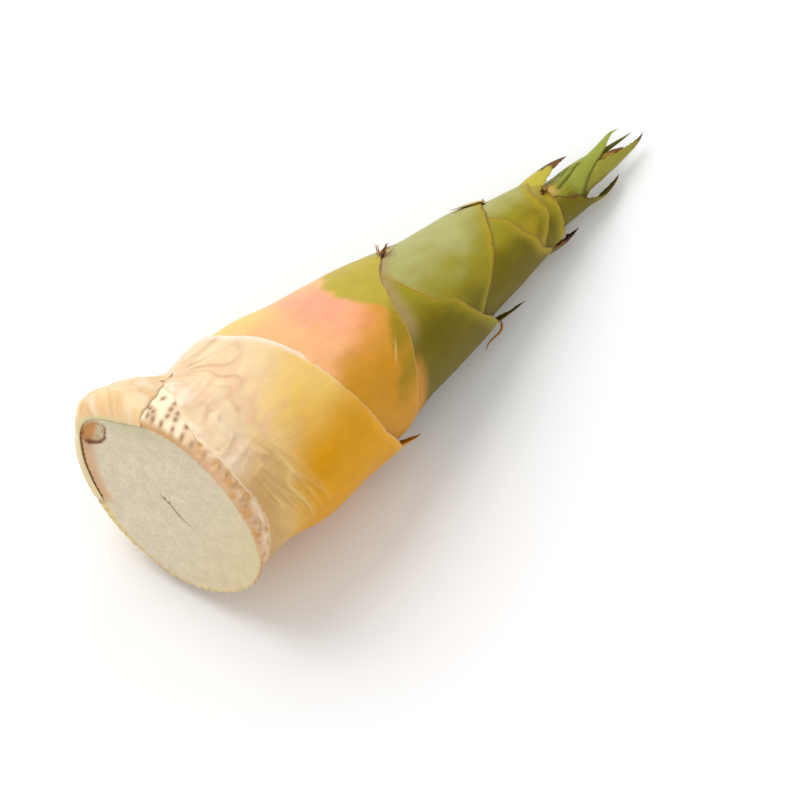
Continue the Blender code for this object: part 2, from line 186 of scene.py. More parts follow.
BLADES = {
    "sheath_02": (
        (86, 35.6, -1.5, 7.6, 30, 190), (91, 36.0, -2.0, 7.0, 32, 195),
        (96, 36.4, -2.0, 4.8, 34, 198), (100, 36.8, -1.4, 2.2, 36, 200),
        (103, 36.8, -0.6, 0.04, 36, 200),
    ),
    "sheath_03": (
        (124, -23.2, 14.4, 2.0, 20, 32), (127, -24.0, 14.8, 1.7, 30, 32),
        (130, -25.0, 15.2, 1.0, 40, 32), (132.5, -26.4, 15.2, 0.04, 40, 32),
    ),
    "sheath_04": (
        (153, 20.8, -1.6, 5.4, 30, 190), (158, 21.3, -1.8, 4.6, 45, 198),
        (163, 21.3, -1.6, 2.7, 50, 205), (169, 21.4, -1.0, 1.4, 50, 205),
        (174, 21.2, 0, 0.04, 50, 205),
    ),
    "sheath_05": (
        (178, -18.4, 6.3, 3.6, 20, 19), (180.8, -17.8, 6.2, 3.4, 24, 19),
        (181.3, -18.2, 6.5, 3.2, 28, 19), (179.6, -19.0, 6.8, 3.0, 28, 19),
        (175, -20.3, 7.2, 2.4, 28, 19), (167, -22.2, 7.8, 0.04, 28, 19),
    ),
    "sheath_06": (
        (191, 12.4, -0.6, 5.0, 45, 190), (195, 12.9, -0.7, 5.0, 66, 192),
        (199, 13.3, -0.8, 4.7, 80, 192), (204, 13.2, -0.8, 3.6, 80, 195),
        (208.5, 12.5, -0.4, 2.0, 74, 200), (212.5, 11.5, 0, 0.04, 60, 205),
    ),
    "sheath_07": (
        (199, -11.9, 6.0, 6.4, 32, 38), (203, -12.3, 6.1, 5.8, 34, 40),
        (208, -13.1, 5.8, 4.5, 34, 40), (213, -13.6, 5.2, 3.3, 36, 38),
        (218, -13.6, 4.4, 2.4, 36, 36), (222, -13.2, 3.6, 1.5, 36, 36),
        (226, -12.4, 3.0, 0.04, 36, 36),
    ),
    "sheath_08": (
        (203, -8.6, -6.4, 3.4, 28, 324), (207, -9.0, -6.8, 3.0, 30, 324),
        (212, -9.6, -7.4, 1.8, 34, 324), (217, -10.4, -8.0, 0.04, 34, 324),
    ),
}


# ---------------------------------------------------------------- numbers


def linear(hex_colour):
    """sRGB hex to linear: c / 12.92 below 0.04045, else ((c + 0.055) / 1.055) to the power 2.4."""
    parts = [int(hex_colour[i : i + 2], 16) / 255 for i in (1, 3, 5)]
    return tuple(c / 12.92 if c <= 0.04045 else ((c + 0.055) / 1.055) ** 2.4 for c in parts)


def smooth(x):
    """3x² − 2x³ of x held between 0 and 1."""
    x = np.clip(x, 0.0, 1.0)
    return x * x * (3 - 2 * x)


def ramp(x, start, end):
    """0 up to the start and 1 past the end, smooth between them. The end may be the lower one."""
    return smooth((x - start) / (end - start))


def quarter(x):
    """Quarter circle: the square root of 1 − (1 − x)², for x held between 0 and 1."""
    return np.sqrt(1 - (1 - np.clip(x, 0.0, 1.0)) ** 2)


def through(stations, x):
    """Cubic Hermite curve through the stations, with each slope taken from its neighbours.

    It is carried on past either end for half of the last run, and then stays level.
    """
    spots = np.array([s[0] for s in stations], float)
    values = np.array([s[1] for s in stations], float)
    before = np.maximum(np.arange(len(spots)) - 1, 0)
    after = np.minimum(np.arange(len(spots)) + 1, len(spots) - 1)
    slopes = (values[after] - values[before]) / (spots[after] - spots[before])
    k = np.clip(np.searchsorted(spots, x, side="right") - 1, 0, len(spots) - 2)
    run = spots[k + 1] - spots[k]
    s = np.clip((x - spots[k]) / run, -0.5, 1.5)
    return (
        values[k] * (1 + 2 * s) * (1 - s) ** 2
        + values[k + 1] * s * s * (3 - 2 * s)
        + run * (slopes[k] * s * (1 - s) ** 2 - slopes[k + 1] * s * s * (1 - s))
    )


def lumps(seed, *axes):
    """Smooth noise from -1 to 1: a hashed value at each whole number, blended by 3f² − 2f³."""
    axes = np.broadcast_arrays(*axes)
    base = [np.floor(a).astype(np.int64) for a in axes]
    share = [(a - b) ** 2 * (3 - 2 * (a - b)) for a, b in zip(axes, base)]
    total = np.zeros(axes[0].shape)
    for corner in range(2 ** len(axes)):
        hashed = np.full(axes[0].shape, seed * 7919 + 1013, np.int64)
        weight = np.ones(axes[0].shape)
        for axis, (low, part) in enumerate(zip(base, share)):
            bit = (corner >> axis) & 1
            hashed = (hashed ^ (low + bit)) * 0x27D4EB2D & 0x7FFFFFFF
            hashed ^= hashed >> 15
            weight = weight * (part if bit else 1 - part)
        hashed = hashed * 0x2C1B3C6D & 0x7FFFFFFF
        hashed ^= hashed >> 12
        total += weight * ((hashed & 0xFFFF) / 32767.5 - 1)
    return total


def turned(angle):
    """The angle brought to between -180 and 180."""
    return (angle + 180.0) % 360.0 - 180.0


def labelled(angle):
    """The angle brought to between the belly's and 360 more, so that it jumps only on the floor."""
    return (angle - BELLY_ANGLE) % 360.0 + BELLY_ANGLE


# ---------------------------------------------------------------- the shoot's form


def in_frame(x, y, z):
    """The shoot's own x, y, z in millimetres, turned by the dip and moved to the frame, in metres."""
    x, y, z = np.broadcast_arrays(x - REST_HEIGHT, y, z + REST_RADIUS)
    level = math.cos(DIP) * x + math.sin(DIP) * z - MIDDLE[0]
    rise = -math.sin(DIP) * x + math.cos(DIP) * z
    return np.stack([level, y - MIDDLE[1], rise], -1) * MM


def placed(points):
    """The shoot's own points in the frame: in_frame for an array whose last axis is x, y, z."""
    return in_frame(*np.moveaxis(points, -1, 0))


def on_shoot(height, angle, radius):
    """The points at these heights, angles and radii, in the frame's metres."""
    turn = np.radians(angle - UP_ANGLE)
    return in_frame(height, -np.sin(turn) * radius, np.cos(turn) * radius)


def floor_radius(height, angle):
    """Distance from the axis to the surface that the shoot lies on, infinite away from it."""
    below = -np.cos(np.radians(angle - UP_ANGLE))
    reach = REST_RADIUS - (height - REST_HEIGHT) * math.tan(DIP)
    return np.where(below > BELLY_SHARE, reach / np.maximum(below, BELLY_SHARE), np.inf)


def wrapped_radius(height, angle):
    """Outline plus sway times the cosine of the angle, pressed flat on the surface below."""
    sway = through(SWAY, np.maximum(SWAY[0][0], height)) * np.cos(np.radians(angle))
    return np.minimum(through(OUTLINE, height) + sway, floor_radius(height, angle))


def towards_blade(leaf, angle):
    """1 at the blade, falling to 0 opposite: half of 1 plus the cosine of the angle between."""
    return (1 + np.cos(np.radians(angle - leaf.side))) / 2


def edge_height(leaf, angle):
    """Height of a sheath's upper edge, by how far round from its blade the angle is."""
    return through(leaf.edge, np.abs(turned(angle - leaf.side)))


def cut_height(radius, angle):
    """Height of the slanted cut: the tangent of the slant times the reach towards 180 degrees."""
    return -math.tan(CUT_SLANT) * radius * np.cos(np.radians(angle))


def from_stub(angle):
    """Degrees from the middle of the stub, either way."""
    return np.abs(turned(angle - STUB_MIDDLE))


def pared_radius(height, angle):
    """The wrapped radius, rounded in by a quarter circle to the pared radius of the cut."""
    rim = through(CUT, turned(angle))
    full = wrapped_radius(height, angle)
    lift = height - cut_height(rim, angle)
    return rim + (full - rim) * quarter(lift / BEVEL)


def foot_line(angle):
    """Where the first whole sheath starts: above the cut, highest by the stub of the oldest one."""
    away = from_stub(angle)
    rise = 3.6 + 2.2 * ramp(away, 100, 140) + 20.0 * ramp(away, 96, 34)
    waves = 0.5 * lumps(3, angle / 7.0) + 0.4 * lumps(9, angle / 2.6)
    return cut_height(CUT_MEAN, angle) + rise + waves


def wall_at(leaf, below_edge, lip):
    """Thickness: the lip at the edge, growing smoothly to the wall further down."""
    return lip + (leaf.wall - lip) * ramp(below_edge, 0.0, WALL_LENGTH)


def layer_radius(index, height, angle, lip):
    """Outline less the room that each outer sheath takes: its wall, or past its edge a fading lip."""
    radius = wrapped_radius(height, angle)
    for leaf in LEAVES[:index]:
        below = edge_height(leaf, angle) - height
        inside = wall_at(leaf, below, lip) + GAP
        beyond = (lip + GAP) * (1 - smooth(-below / FADE_LENGTH))
        radius = radius - np.where(below > 0, inside, beyond)
    return radius


# ---------------------------------------------------------------- meshes


class Patch:
    """A grid of points with the masks and the map that its material reads."""

    def __init__(self, points, masks=None, wrap=None):
        self.points = points
        self.masks = masks or {}
        shape = points.shape[:2]
        self.wrap = wrap if wrap is not None else np.zeros(shape + (2,))

    def faces(self, start):
        """Quads between neighbouring rows and columns, turned to face along du × dv."""
        rows, columns = self.points.shape[:2]
        corner = start + np.arange(rows * columns).reshape(rows, columns)
        quads = [corner[:-1, :-1], corner[:-1, 1:], corner[1:, 1:], corner[1:, :-1]]
        return np.stack(quads, -1).reshape(-1, 4)


def build_piece(name, patches, replaced, material):
    points = np.concatenate([p.points.reshape(-1, 3) for p in patches])
    starts = np.cumsum([0] + [p.points[..., 0].size for p in patches])
    quads = np.concatenate([p.faces(s) for p, s in zip(patches, starts)])
    mesh = bpy.data.meshes.new(name)
    mesh.from_pydata(points, [], quads)
    for key in sorted({key for p in patches for key in p.masks}):
        values = [
            np.broadcast_to(p.masks.get(key, 0.0), p.points.shape[:2]).ravel() for p in patches
        ]
        layer = mesh.attributes.new(key, "FLOAT", "POINT")
        layer.data.foreach_set("value", np.concatenate(values).astype(np.float32))
    wrap = np.concatenate([p.wrap.reshape(-1, 2) for p in patches])
    mesh.uv_layers.new(name="wrap").data.foreach_set("uv", wrap[quads.ravel()].ravel())
    sheet = bmesh.new()
    sheet.from_mesh(mesh)
    bmesh.ops.remove_doubles(sheet, verts=sheet.verts, dist=WELD)
    bmesh.ops.recalc_face_normals(sheet, faces=sheet.faces)
    sheet.to_mesh(mesh)
    sheet.free()
    mesh.shade_smooth()
    mesh.materials.append(material)
    piece = bpy.data.objects.new(name, mesh)
    bpy.context.scene.collection.objects.link(piece)
    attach(piece, "root")
    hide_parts(replaced)


def lens(outer, inner, masks, wrap):
    """Two grids that share their border: an outer face, and an inner one turned the other way."""
    flipped = {key: np.broadcast_to(v, outer.shape[:2])[:, ::-1] for key, v in masks.items()}
    return [Patch(outer, masks, wrap), Patch(inner[:, ::-1], flipped, wrap[:, ::-1])]


def border_thickness(rows, columns):
    """Share of the full thickness: 0 on the border, and 1 from the first point inside it."""
    inside = np.ones((rows, columns))
    inside[[0, -1]] = 0.0
    inside[:, [0, -1]] = 0.0
    return inside


def wrap_map(across, along):
    """The map of a surface, in centimetres, from distances in millimetres."""
    return np.stack(np.broadcast_arrays(across / 10.0, along / 10.0), -1)


def ragged(seed, angle, size):
    """Unevenness of a torn edge: three lengths of wave, and a few narrow notches."""
    waves = lumps(seed, angle / 23) * 0.6 + lumps(seed + 1, angle / 6) * 0.3
    waves = waves + lumps(seed + 2, angle / 1.7) * 0.18
    notch = np.clip(lumps(seed + 3, angle / 3.1) - 0.72, 0.0, None) * 3.4
    return size * (waves - notch)


def column_angles(leaf):
    """Degrees from the blade of each column: three times closer together on the upper side."""
    around = np.linspace(-180.0 - OVERLAP, 180.0 + OVERLAP, 753)  # every half degree
    upper = smooth((112.0 - np.abs(turned(leaf.side + around - 92.0))) / 16.0)
    share = np.cumsum(1 + 2 * upper)
    share = (share - share[0]) / (share[-1] - share[0])
    return np.interp(np.linspace(0, 1, leaf.columns), share, around)


def sheath_patches(index, sizes, relief, masks_of):
    """The outer and inner face of one wrapped sheath.

    Columns run round it and its margins lap over each other on its back. Rows run from its foot to
    its edge, close together where it shows. The radius is the layer's radius, plus the flare at the
    apex and the relief, and the inner face lies a wall further in.
    """
    leaf = LEAVES[index]
    lip = sizes.lip / MM
    around = column_angles(leaf)[None, :]
    angle = leaf.side + around
    edge = edge_height(leaf, angle) + ragged(10 + index * 5, angle, sizes.ragged / MM)
    foot = foot_line(angle) if leaf.foot is None else np.full_like(angle, float(leaf.foot))
    covered = np.full_like(angle, NONE_OVER)
    for outer in LEAVES[:index]:
        covered = np.maximum(covered, edge_height(outer, angle))
    shown = np.clip(covered - 4.0, foot + 0.5, edge - 3.0)
    row = np.linspace(0.0, 1.0, leaf.rows)[:, None]
    covered_share = COVERED_ROWS if index else BARE_ROWS
    low = foot + (shown - foot) * np.minimum(row / covered_share, 1.0)
    high = (edge - shown) * np.clip((row - covered_share) / (1 - covered_share), 0.0, 1.0)
    height = low + high
    below = edge - height
    rise = smooth(1 + (height - leaf.edge[0][1]) / leaf.reach)
    radius = layer_radius(index, height, angle, lip)
    radius = radius + leaf.flare * rise * towards_blade(leaf, angle) ** 3
    outer_margin = -around if leaf.side == 180 else around
    radius = radius + (lip + GAP) * ramp(outer_margin, 150.0, 172.0)
    bare = smooth((height - covered) / 4.0) * smooth((height - foot) / 3.0)
    radius = radius + relief(labelled(angle), height, below) * bare
    radius = np.minimum(radius, floor_radius(height, angle) - 0.02)
    wall = wall_at(leaf, below, lip) * border_thickness(leaf.rows, leaf.columns)
    convergence = 1 - 0.2 * smooth((height - foot) / (leaf.edge[0][1] - foot))
    wrap = wrap_map(np.radians(around) / convergence * np.mean(radius), height)
    masks = masks_of(labelled(angle), height, below)
    masks["edge"] = ramp(below, 0.6, 0.0)
    outer, inner = on_shoot(height, angle, radius), on_shoot(height, angle, radius - wall)
    return lens(outer, inner, masks, wrap)


def facing(degrees):
    """Unit vectors of the shoot's x, y, z that look out from the axis at these angles."""
    turn = np.radians(degrees - UP_ANGLE)
    return np.stack([0 * turn, -np.sin(turn), np.cos(turn)], -1)


def run_along(table, count):
    """The table's columns at evenly spaced places along its line, and how far along each one is."""
    table = np.array(table, float)
    step = np.linalg.norm(np.diff(table[:, :3], axis=0), axis=1)
    gone = np.concatenate([[0.0], np.cumsum(step)])
    at = np.linspace(0.0, gone[-1], count)
    columns = [through(list(zip(gone, table[:, k])), at) for k in range(table.shape[1])]
    middle = columns[0][:, None] * np.array([1.0, 0.0, 0.0])
    middle = middle + columns[1][:, None] * facing(180.0) + columns[2][:, None] * facing(90.0)
    tangent = np.gradient(middle, axis=0)
    tangent /= np.linalg.norm(tangent, axis=1, keepdims=True)
    return at, middle, tangent, columns


def blade_patches(table, masks_of, seed, relief=None, rows=44, columns=21, torn=0.06):
    """A blade or young leaf swept along its midrib.

    Across, each row is an arc. Its radius is its half width over its half angle, and a place across
    it, from -1 to 1, is turned by that share of the half angle about a centre behind the midrib. Its
    thickness is a lens that closes at both margins and at the tip. masks_of and relief take the
    share of the length, the place across, and the height and angle of each point.
    """
    at, middle, tangent, (_, _, _, half, wrap, look) = run_along(table, rows)
    outward = facing(look)
    outward = outward - tangent * (outward * tangent).sum(1, keepdims=True)
    outward /= np.linalg.norm(outward, axis=1, keepdims=True)
    sideways = np.cross(tangent, outward)
    share = (at / at[-1])[:, None]
    place = np.linspace(-1.0, 1.0, columns)[None, :]
    bend = np.radians(wrap)[:, None]
    bow = np.maximum(half, 0.02)[:, None] / bend
    tear = 1 + torn * (lumps(seed, at[:, None] / 1.1, np.sign(place) * 3.0) - 0.4) * np.abs(place)
    turn = place * bend * tear
    spot = (share, place, middle[:, :1], look[:, None] + np.degrees(turn))
    outward, sideways = outward[:, None, :], sideways[:, None, :]
    spread = (1 - place**2) ** 0.5 * smooth((1 - share) * 14) * smooth(share * 14)
    depth = (1 - np.cos(turn)) * bow
    thick = (BLADE_THICKNESS * spread * (1.0 - 0.5 * share))[..., None]
    face = middle[:, None, :] + sideways * (np.sin(turn) * bow)[..., None]
    face = face - outward * depth[..., None]
    normal = outward * np.cos(turn)[..., None] + sideways * np.sin(turn)[..., None]
    if relief:
        face = face + normal * (relief(*spot) * spread)[..., None]
    back = face - normal * thick
    masks = {key: np.broadcast_to(v, turn.shape) for key, v in masks_of(*spot).items()}
    made = lens(placed(face), placed(back), masks, wrap_map(place * half[:, None], at[:, None]))
    # The inner face gets its own mask, which most materials paint darker than the blade: painted
    # shade.
    made[1].masks["inside"] = np.ones(turn.shape)
    return made


def bristle(path, radius, masks=None):
    """A hair along a path: a tube of five sides whose radius falls to nothing at both ends."""
    at, middle, tangent, _ = run_along(path, 9)
    share = at / at[-1]
    first = np.cross(tangent, (0.31, 0.87, -0.39))
    first /= np.linalg.norm(first, axis=1, keepdims=True)
    second = np.cross(tangent, first)
    turn = np.linspace(0, 2 * math.pi, 6)
    taper = (radius * np.sqrt(np.clip(1 - share, 0, 1)) * smooth(share * 20))[:, None, None]
    cosine, sine = np.cos(turn)[None, :, None], np.sin(turn)[None, :, None]
    points = middle[:, None] + (first[:, None] * cosine + second[:, None] * sine) * taper
    return [Patch(placed(points), masks or {"blade": 1.0, "dry": 1.0})]


def tuft(seed, root, count, length, spread, radius):
    """Bristles that fan out from one root, forwards, outwards and to the sides, a little bent."""
    random = np.random.default_rng(seed)
    patches = []
    for _ in range(count):
        away = np.array([random.uniform(-0.2, 1.0), *random.uniform(-spread, spread, 2)])
        away += (0, 0.55 * np.sign(root[1]), 0.2)
        away *= length * random.uniform(0.6, 1.1) / np.linalg.norm(away)
        bend = random.normal(0, 0.12 * length, 3)
        start = np.array(root) + random.normal(0, 0.5, 3)
        path = [start, start + away * 0.5 + bend, start + away]
        patches += bristle([tuple(p) for p in path], radius * random.uniform(0.7, 1.3))
    return patches


# ---------------------------------------------------------------- materials


SPECULAR = 0.16  # dull plant skin and paper mirror less than the usual 0.5


def node(tree, kind, links=(), **values):
    """Adds a node: values are its properties, or its inputs when the key is in_ and a number."""
    made = tree.nodes.new(kind)
    for key, value in values.items():
        if key.startswith("in_"):
            made.inputs[int(key[3:])].default_value = value
        else:
            setattr(made, key, value)
    for socket, source in dict(links).items():
        tree.links.new(source, made.inputs[socket])
    return made


def start_material(name, roughness, ior, **more):
    """A material with its Principled shader: more holds further sockets, with _ for a space."""
    made = bpy.data.materials.new(name)
    made.use_nodes = True
    shader = made.node_tree.nodes["Principled BSDF"]
    shader.inputs["Roughness"].default_value = roughness
    shader.inputs["IOR"].default_value = ior
    shader.inputs["Specular IOR Level"].default_value = SPECULAR
    for key, value in more.items():
        shader.inputs[key.replace("_", " ")].default_value = value
    return made, made.node_tree, shader


def tint(colour):
    """A colour in linear light with its alpha, from a hex string or a property's value."""
    return (*(linear(colour) if isinstance(colour, str) else colour), 1)


def paint(tree, base, layers):
    """Lays each colour over the ones before it, by its mask: under × (1 − mask) + over × mask.

    A mask is a socket, or the name of one of the mesh's masks.
    """
    under = None
    for mask, colour in layers:
        if isinstance(mask, str):
            mask = node(tree, "ShaderNodeAttribute", attribute_name=mask).outputs["Fac"]
        mixed = node(
            tree, "ShaderNodeMix", {0: mask}, data_type="RGBA", clamp_factor=True,
            in_6=tint(base), in_7=tint(colour),
        )
        if under is not None:
            tree.links.new(under, mixed.inputs[6])
        under = mixed.outputs[2]
    return under


def finish_skin(tree, shader, colour, tone, brightest, height, bump, depth):
    """Scales the colour by the tone, from 0.92 to the brightest, and bumps the skin by the height.

    The tone is noise, which runs mostly from 0.3 to 0.7.
    """
    light = node(
        tree, "ShaderNodeMapRange", {0: tone}, in_1=0.3, in_2=0.7, in_3=0.92, in_4=brightest
    )
    shaded = node(
        tree, "ShaderNodeVectorMath", {0: colour, "Scale": light.outputs[0]}, operation="SCALE"
    )
    relief = node(tree, "ShaderNodeBump", {"Height": height}, in_0=bump, in_1=depth)
    tree.links.new(shaded.outputs[0], shader.inputs["Base Color"])
    tree.links.new(relief.outputs[0], shader.inputs["Normal"])


def sheath_material(name, base, layers, bump, roughness):
    """Culm sheath: parallel veins under a mottled satin skin, with the layers laid over its base."""
    made, tree, shader = start_material(name, roughness, 1.4)
    wrap = node(tree, "ShaderNodeUVMap", uv_map="wrap").outputs[0]
    place = node(tree, "ShaderNodeTexCoord").outputs["Object"]
    # The map is in centimetres, so the streaks are one vein across and some 30 mm long.
    veins = (10.0 * MM / settings()[0].vein, 0.35, 1.0)
    stretch = node(tree, "ShaderNodeMapping", {"Vector": wrap}, in_3=veins).outputs[0]
    streak = node(tree, "ShaderNodeTexNoise", {"Vector": stretch}, in_2=1.0, in_3=3.0).outputs[0]
    # The mottling's patches are some 6 mm across.
    mottle = node(tree, "ShaderNodeTexNoise", {"Vector": place}, in_2=160.0, in_3=4.0).outputs[0]
    tone = node(tree, "ShaderNodeMix", {2: mottle, 3: streak}, in_0=0.35).outputs[0]
    skin = paint(tree, base, layers)
    finish_skin(tree, shader, skin, tone, 1.08, streak, bump, 0.0004)
    return made


# ---------------------------------------------------------------- sizes and colours


def swatch(name, description, hex_colour):
    """A colour property whose default is this hex colour, in linear light."""
    return FloatVectorProperty(
        name=name, description=description, subtype="COLOR", size=3, min=0, max=1,
        default=linear(hex_colour),
    )


def millimetres(name, description, default, low, high):
    """A length property, its default and its limits given in millimetres."""
    return FloatProperty(
        name=name, description=description, unit="LENGTH", precision=5,
        default=default * MM, min=low * MM, max=high * MM,
    )


class SHOOT_PG_sizes(bpy.types.PropertyGroup):
    """Sizes of the shoot's fine detail."""

    lip: millimetres("Sheath lip", "Thickness of a sheath at its edge", 0.3, 0.1, 1.0)
    ragged: millimetres("Ragged edge", "Unevenness of the sheaths' edges", 0.8, 0.0, 3.0)
    vein: millimetres("Vein spacing", "Distance between veins on a sheath", 1.0, 0.4, 3.0)
    bud_spacing: millimetres("Root bud spacing", "Distance between root buds", 4.3, 2.0, 9.0)
    bud: millimetres("Root bud", "Radius of one root bud", 1.8, 0.3, 3.0)


class SHOOT_PG_colours(bpy.types.PropertyGroup):
    """Colours of the shoot's tissues."""

    flesh: swatch("Flesh", "Cut flesh of the culm", "#dccdb2")
    flesh_rim: swatch("Flesh rim", "Tan skin round the cut", "#d6a36a")
    band: swatch("Root band", "Pale band that carries the root buds", "#fdeccb")
    bud: swatch("Root bud", "Heart of a root bud", "#8d6a50")
    cream: swatch("Cream", "Foot of the first sheaths", "#e6cba4")
    # Pale papery skin, partly painted highlight on the lumps of the bud band and the crumpled foot of
    # the first sheath.
    chalk: swatch("Chalk", "Papery white patches", "#f3dcc2")
    tan: swatch("Tan", "Rubbed patches by the cut", "#dcb07c")
    yellow: swatch("Yellow", "Body of the first whole sheath", "#e6be66")
    amber: swatch("Amber", "Deep amber of the first whole sheath", "#dc9a04")
    peach: swatch("Peach", "Pink orange of the second whole sheath", "#f3b27c")
    rust: swatch("Rust", "Orange brown patches", "#cd8f1e")
    olive: swatch("Olive", "Body of the green sheaths", "#94881c")
    moss: swatch("Moss", "Dark side of the green sheaths", "#6d5f00")
    # Darker olive of the lower sides: partly the sheaths' own colour, partly painted shade.
    green: swatch("Green", "Where the second sheath has greened", "#b5a23a")
    bloom: swatch("Bloom", "Waxy bloom on the green sheaths", "#a9a767")
    lemon: swatch("Lemon", "Yellow green of the young leaves", "#8d8c2c")
    gold: swatch("Gold", "Yellow at the edges of the green sheaths", "#b79c28")
    brown: swatch("Brown", "Dried tissue", "#6f4620")
    black: swatch("Black", "Scorched tips", "#45290f")


class SHOOT_PG_stage(bpy.types.PropertyGroup):
    """The camera and the light."""

    azimuth: FloatProperty(
        name="Azimuth", description="The way that the camera looks, from +Y", subtype="ANGLE",
        default=math.radians(-46.3),
    )
    elevation: FloatProperty(
        name="Elevation", description="How far the camera looks down", subtype="ANGLE",
        default=math.radians(58.8),
    )
    distance: FloatProperty(
        name="Distance", description="From the camera to the shoot", default=3.0, unit="LENGTH",
    )
    lens: FloatProperty(
        name="Lens", description="Focal length of the camera", default=367.0, unit="CAMERA",
    )
    key: FloatProperty(name="Key light", description="Power of the main light", default=15.0, min=0)
    fill: FloatProperty(
        name="Fill light", description="Strength of the light from all round", default=0.8, min=0
    )


def settings():
    """The scene's own sizes, colours and stage values."""
    scene = bpy.context.scene
    return scene.shoot_sizes, scene.shoot_colours, scene.shoot_stage


# ---------------------------------------------------------------- the culm


BUD_ROWS = 6
KNOBS = 73  # scallops round the cut
CORE_LIP, CORE_ROOM = 0.45, 1.2  # the lip that the core allows each sheath, and its further room


def bud_places(spacing):
    """Angle, height above the cut and size of each root bud: staggered rows on the band."""
    random = np.random.default_rng(11)
    row = np.arange(BUD_ROWS)[:, None]
    columns = int(360.0 * DEGREE / spacing)
    angle = np.linspace(-180.0, 180.0, columns, endpoint=False)[None, :] + 0.0 * row
    above = 2.0 + row * spacing * 0.88 + 0 * angle
    # Every other row is moved on by half a spacing, which is 0.69 degrees a millimetre.
    angle = angle + random.uniform(-1.7, 1.7, angle.shape) + (row % 2) * spacing * 0.69
    above = above + random.uniform(-0.9, 0.9, angle.shape)
    inside = above < foot_line(angle) - cut_height(CUT_MEAN, angle) - 0.7
    kept = inside & (random.uniform(0, 1, angle.shape) < 0.8)
    return angle[kept], above[kept], random.uniform(0.7, 1.2, kept.sum())


def rim_knobs(angle):
    """Scallops round the cut, each a rounded half wave, uneven in height and larger underneath."""
    turn = np.radians(angle)
    wave = np.abs(np.sin(turn * KNOBS / 2 + lumps(4, np.sin(turn) * 6)))
    hidden = ramp(angle, -48, -64) + ramp(angle, 166, 176)
    size = (0.75 + 0.35 * lumps(6, np.cos(turn) * 15)) * (1.0 + 0.9 * hidden)
    return (0.75 * wave**0.6 - 0.5) * size


def slit_mask(along, across):
    """1 in a narrow slit by the middle of the cut, 16 mm long, widest halfway."""
    start, end = np.array([-3.1, 1.0]), np.array([13.3, -0.8])
    run = end - start
    t = np.clip(((along - start[0]) * run[0] + (across - start[1]) * run[1]) / (run @ run), 0, 1)
    wander = 0.4 * np.sin(t * 7.0)
    away = np.hypot(along - start[0] - t * run[0], across - start[1] - t * run[1] - wander)
    return smooth(1 - away / (0.2 + 0.55 * np.sin(np.pi * t) ** 0.6))


def pocket_masks(along, across):
    """The side bud, cut through: its pocket, the pale half of it and its dark wall.

    The pocket is a superellipse of power 1.6, uneven round its edge.
    """
    reach = (np.abs(along + 35.8) / 4.5) ** 1.6 + (np.abs(across - 1.4) / 8.8) ** 1.6
    reach = reach ** (1 / 1.6) + 0.09 * lumps(31, along / 1.4, across / 1.4)
    inner_side = ramp(along, -37.0, -34.5)
    wall = smooth(1 - np.abs(reach - 0.97) / (0.12 + 0.12 * inner_side))
    pale = smooth((along + 36.4 + 0.3 * across) / 1.6) * ramp(reach, 0.95, 0.75)
    pale = pale * smooth(0.8 + 0.6 * lumps(32, along / 1.1, across / 1.6))
    return ramp(reach, 1.0, 0.8), pale, wall * (0.35 + 0.65 * inner_side)


def cut_face(angle, rim, knobs):
    """The cut face: rows run out from its middle, and the slit and the pocket are sunk in it."""
    share = np.linspace(0.0, 1.0, 72)[:, None] ** 0.75
    radius = (rim + knobs) * share
    height = cut_height(radius, angle)
    across, along = radius * np.sin(np.radians(angle)), -radius * np.cos(np.radians(angle))
    slit = slit_mask(along, across)
    pocket, pale, wall = pocket_masks(along, across)
    grain = lumps(5, along / 0.55, across / 0.9) * smooth((1 - share) * 14)
    height = height + 1.2 * slit + 0.8 * pocket - 0.25 * wall + 0.05 * grain
    height = height + 0.25 * lumps(7, along / 9, across / 9) * smooth((1 - share) * 5)
    height = height + 0.5 * ramp(share, 0.975, 1.0)
    left = ramp(angle, -70.0, -58.0) * ramp(angle, 2.0, -8.0)
    masks = {
        "slit": slit,
        "pocket": pocket,
        "pale": pale,
        "pocket_wall": wall,
        "rim": ramp(share, 0.985, 0.995) * 0.8,
        "straw": ramp(share, 0.965, 0.985) * ramp(angle, -58, -70),
        "warm": smooth((along + across * 0.2 - 4) / 44),
        "blush": left * ramp(share, 0.76, 0.92),
        "line": left * ramp(share, 0.955, 0.975),
        "grey": ramp(share, 0.7, 0.98) * ramp(angle, 100, 40) * ramp(angle, 5, 35),
    }
    return Patch(on_shoot(height, angle, radius), masks)


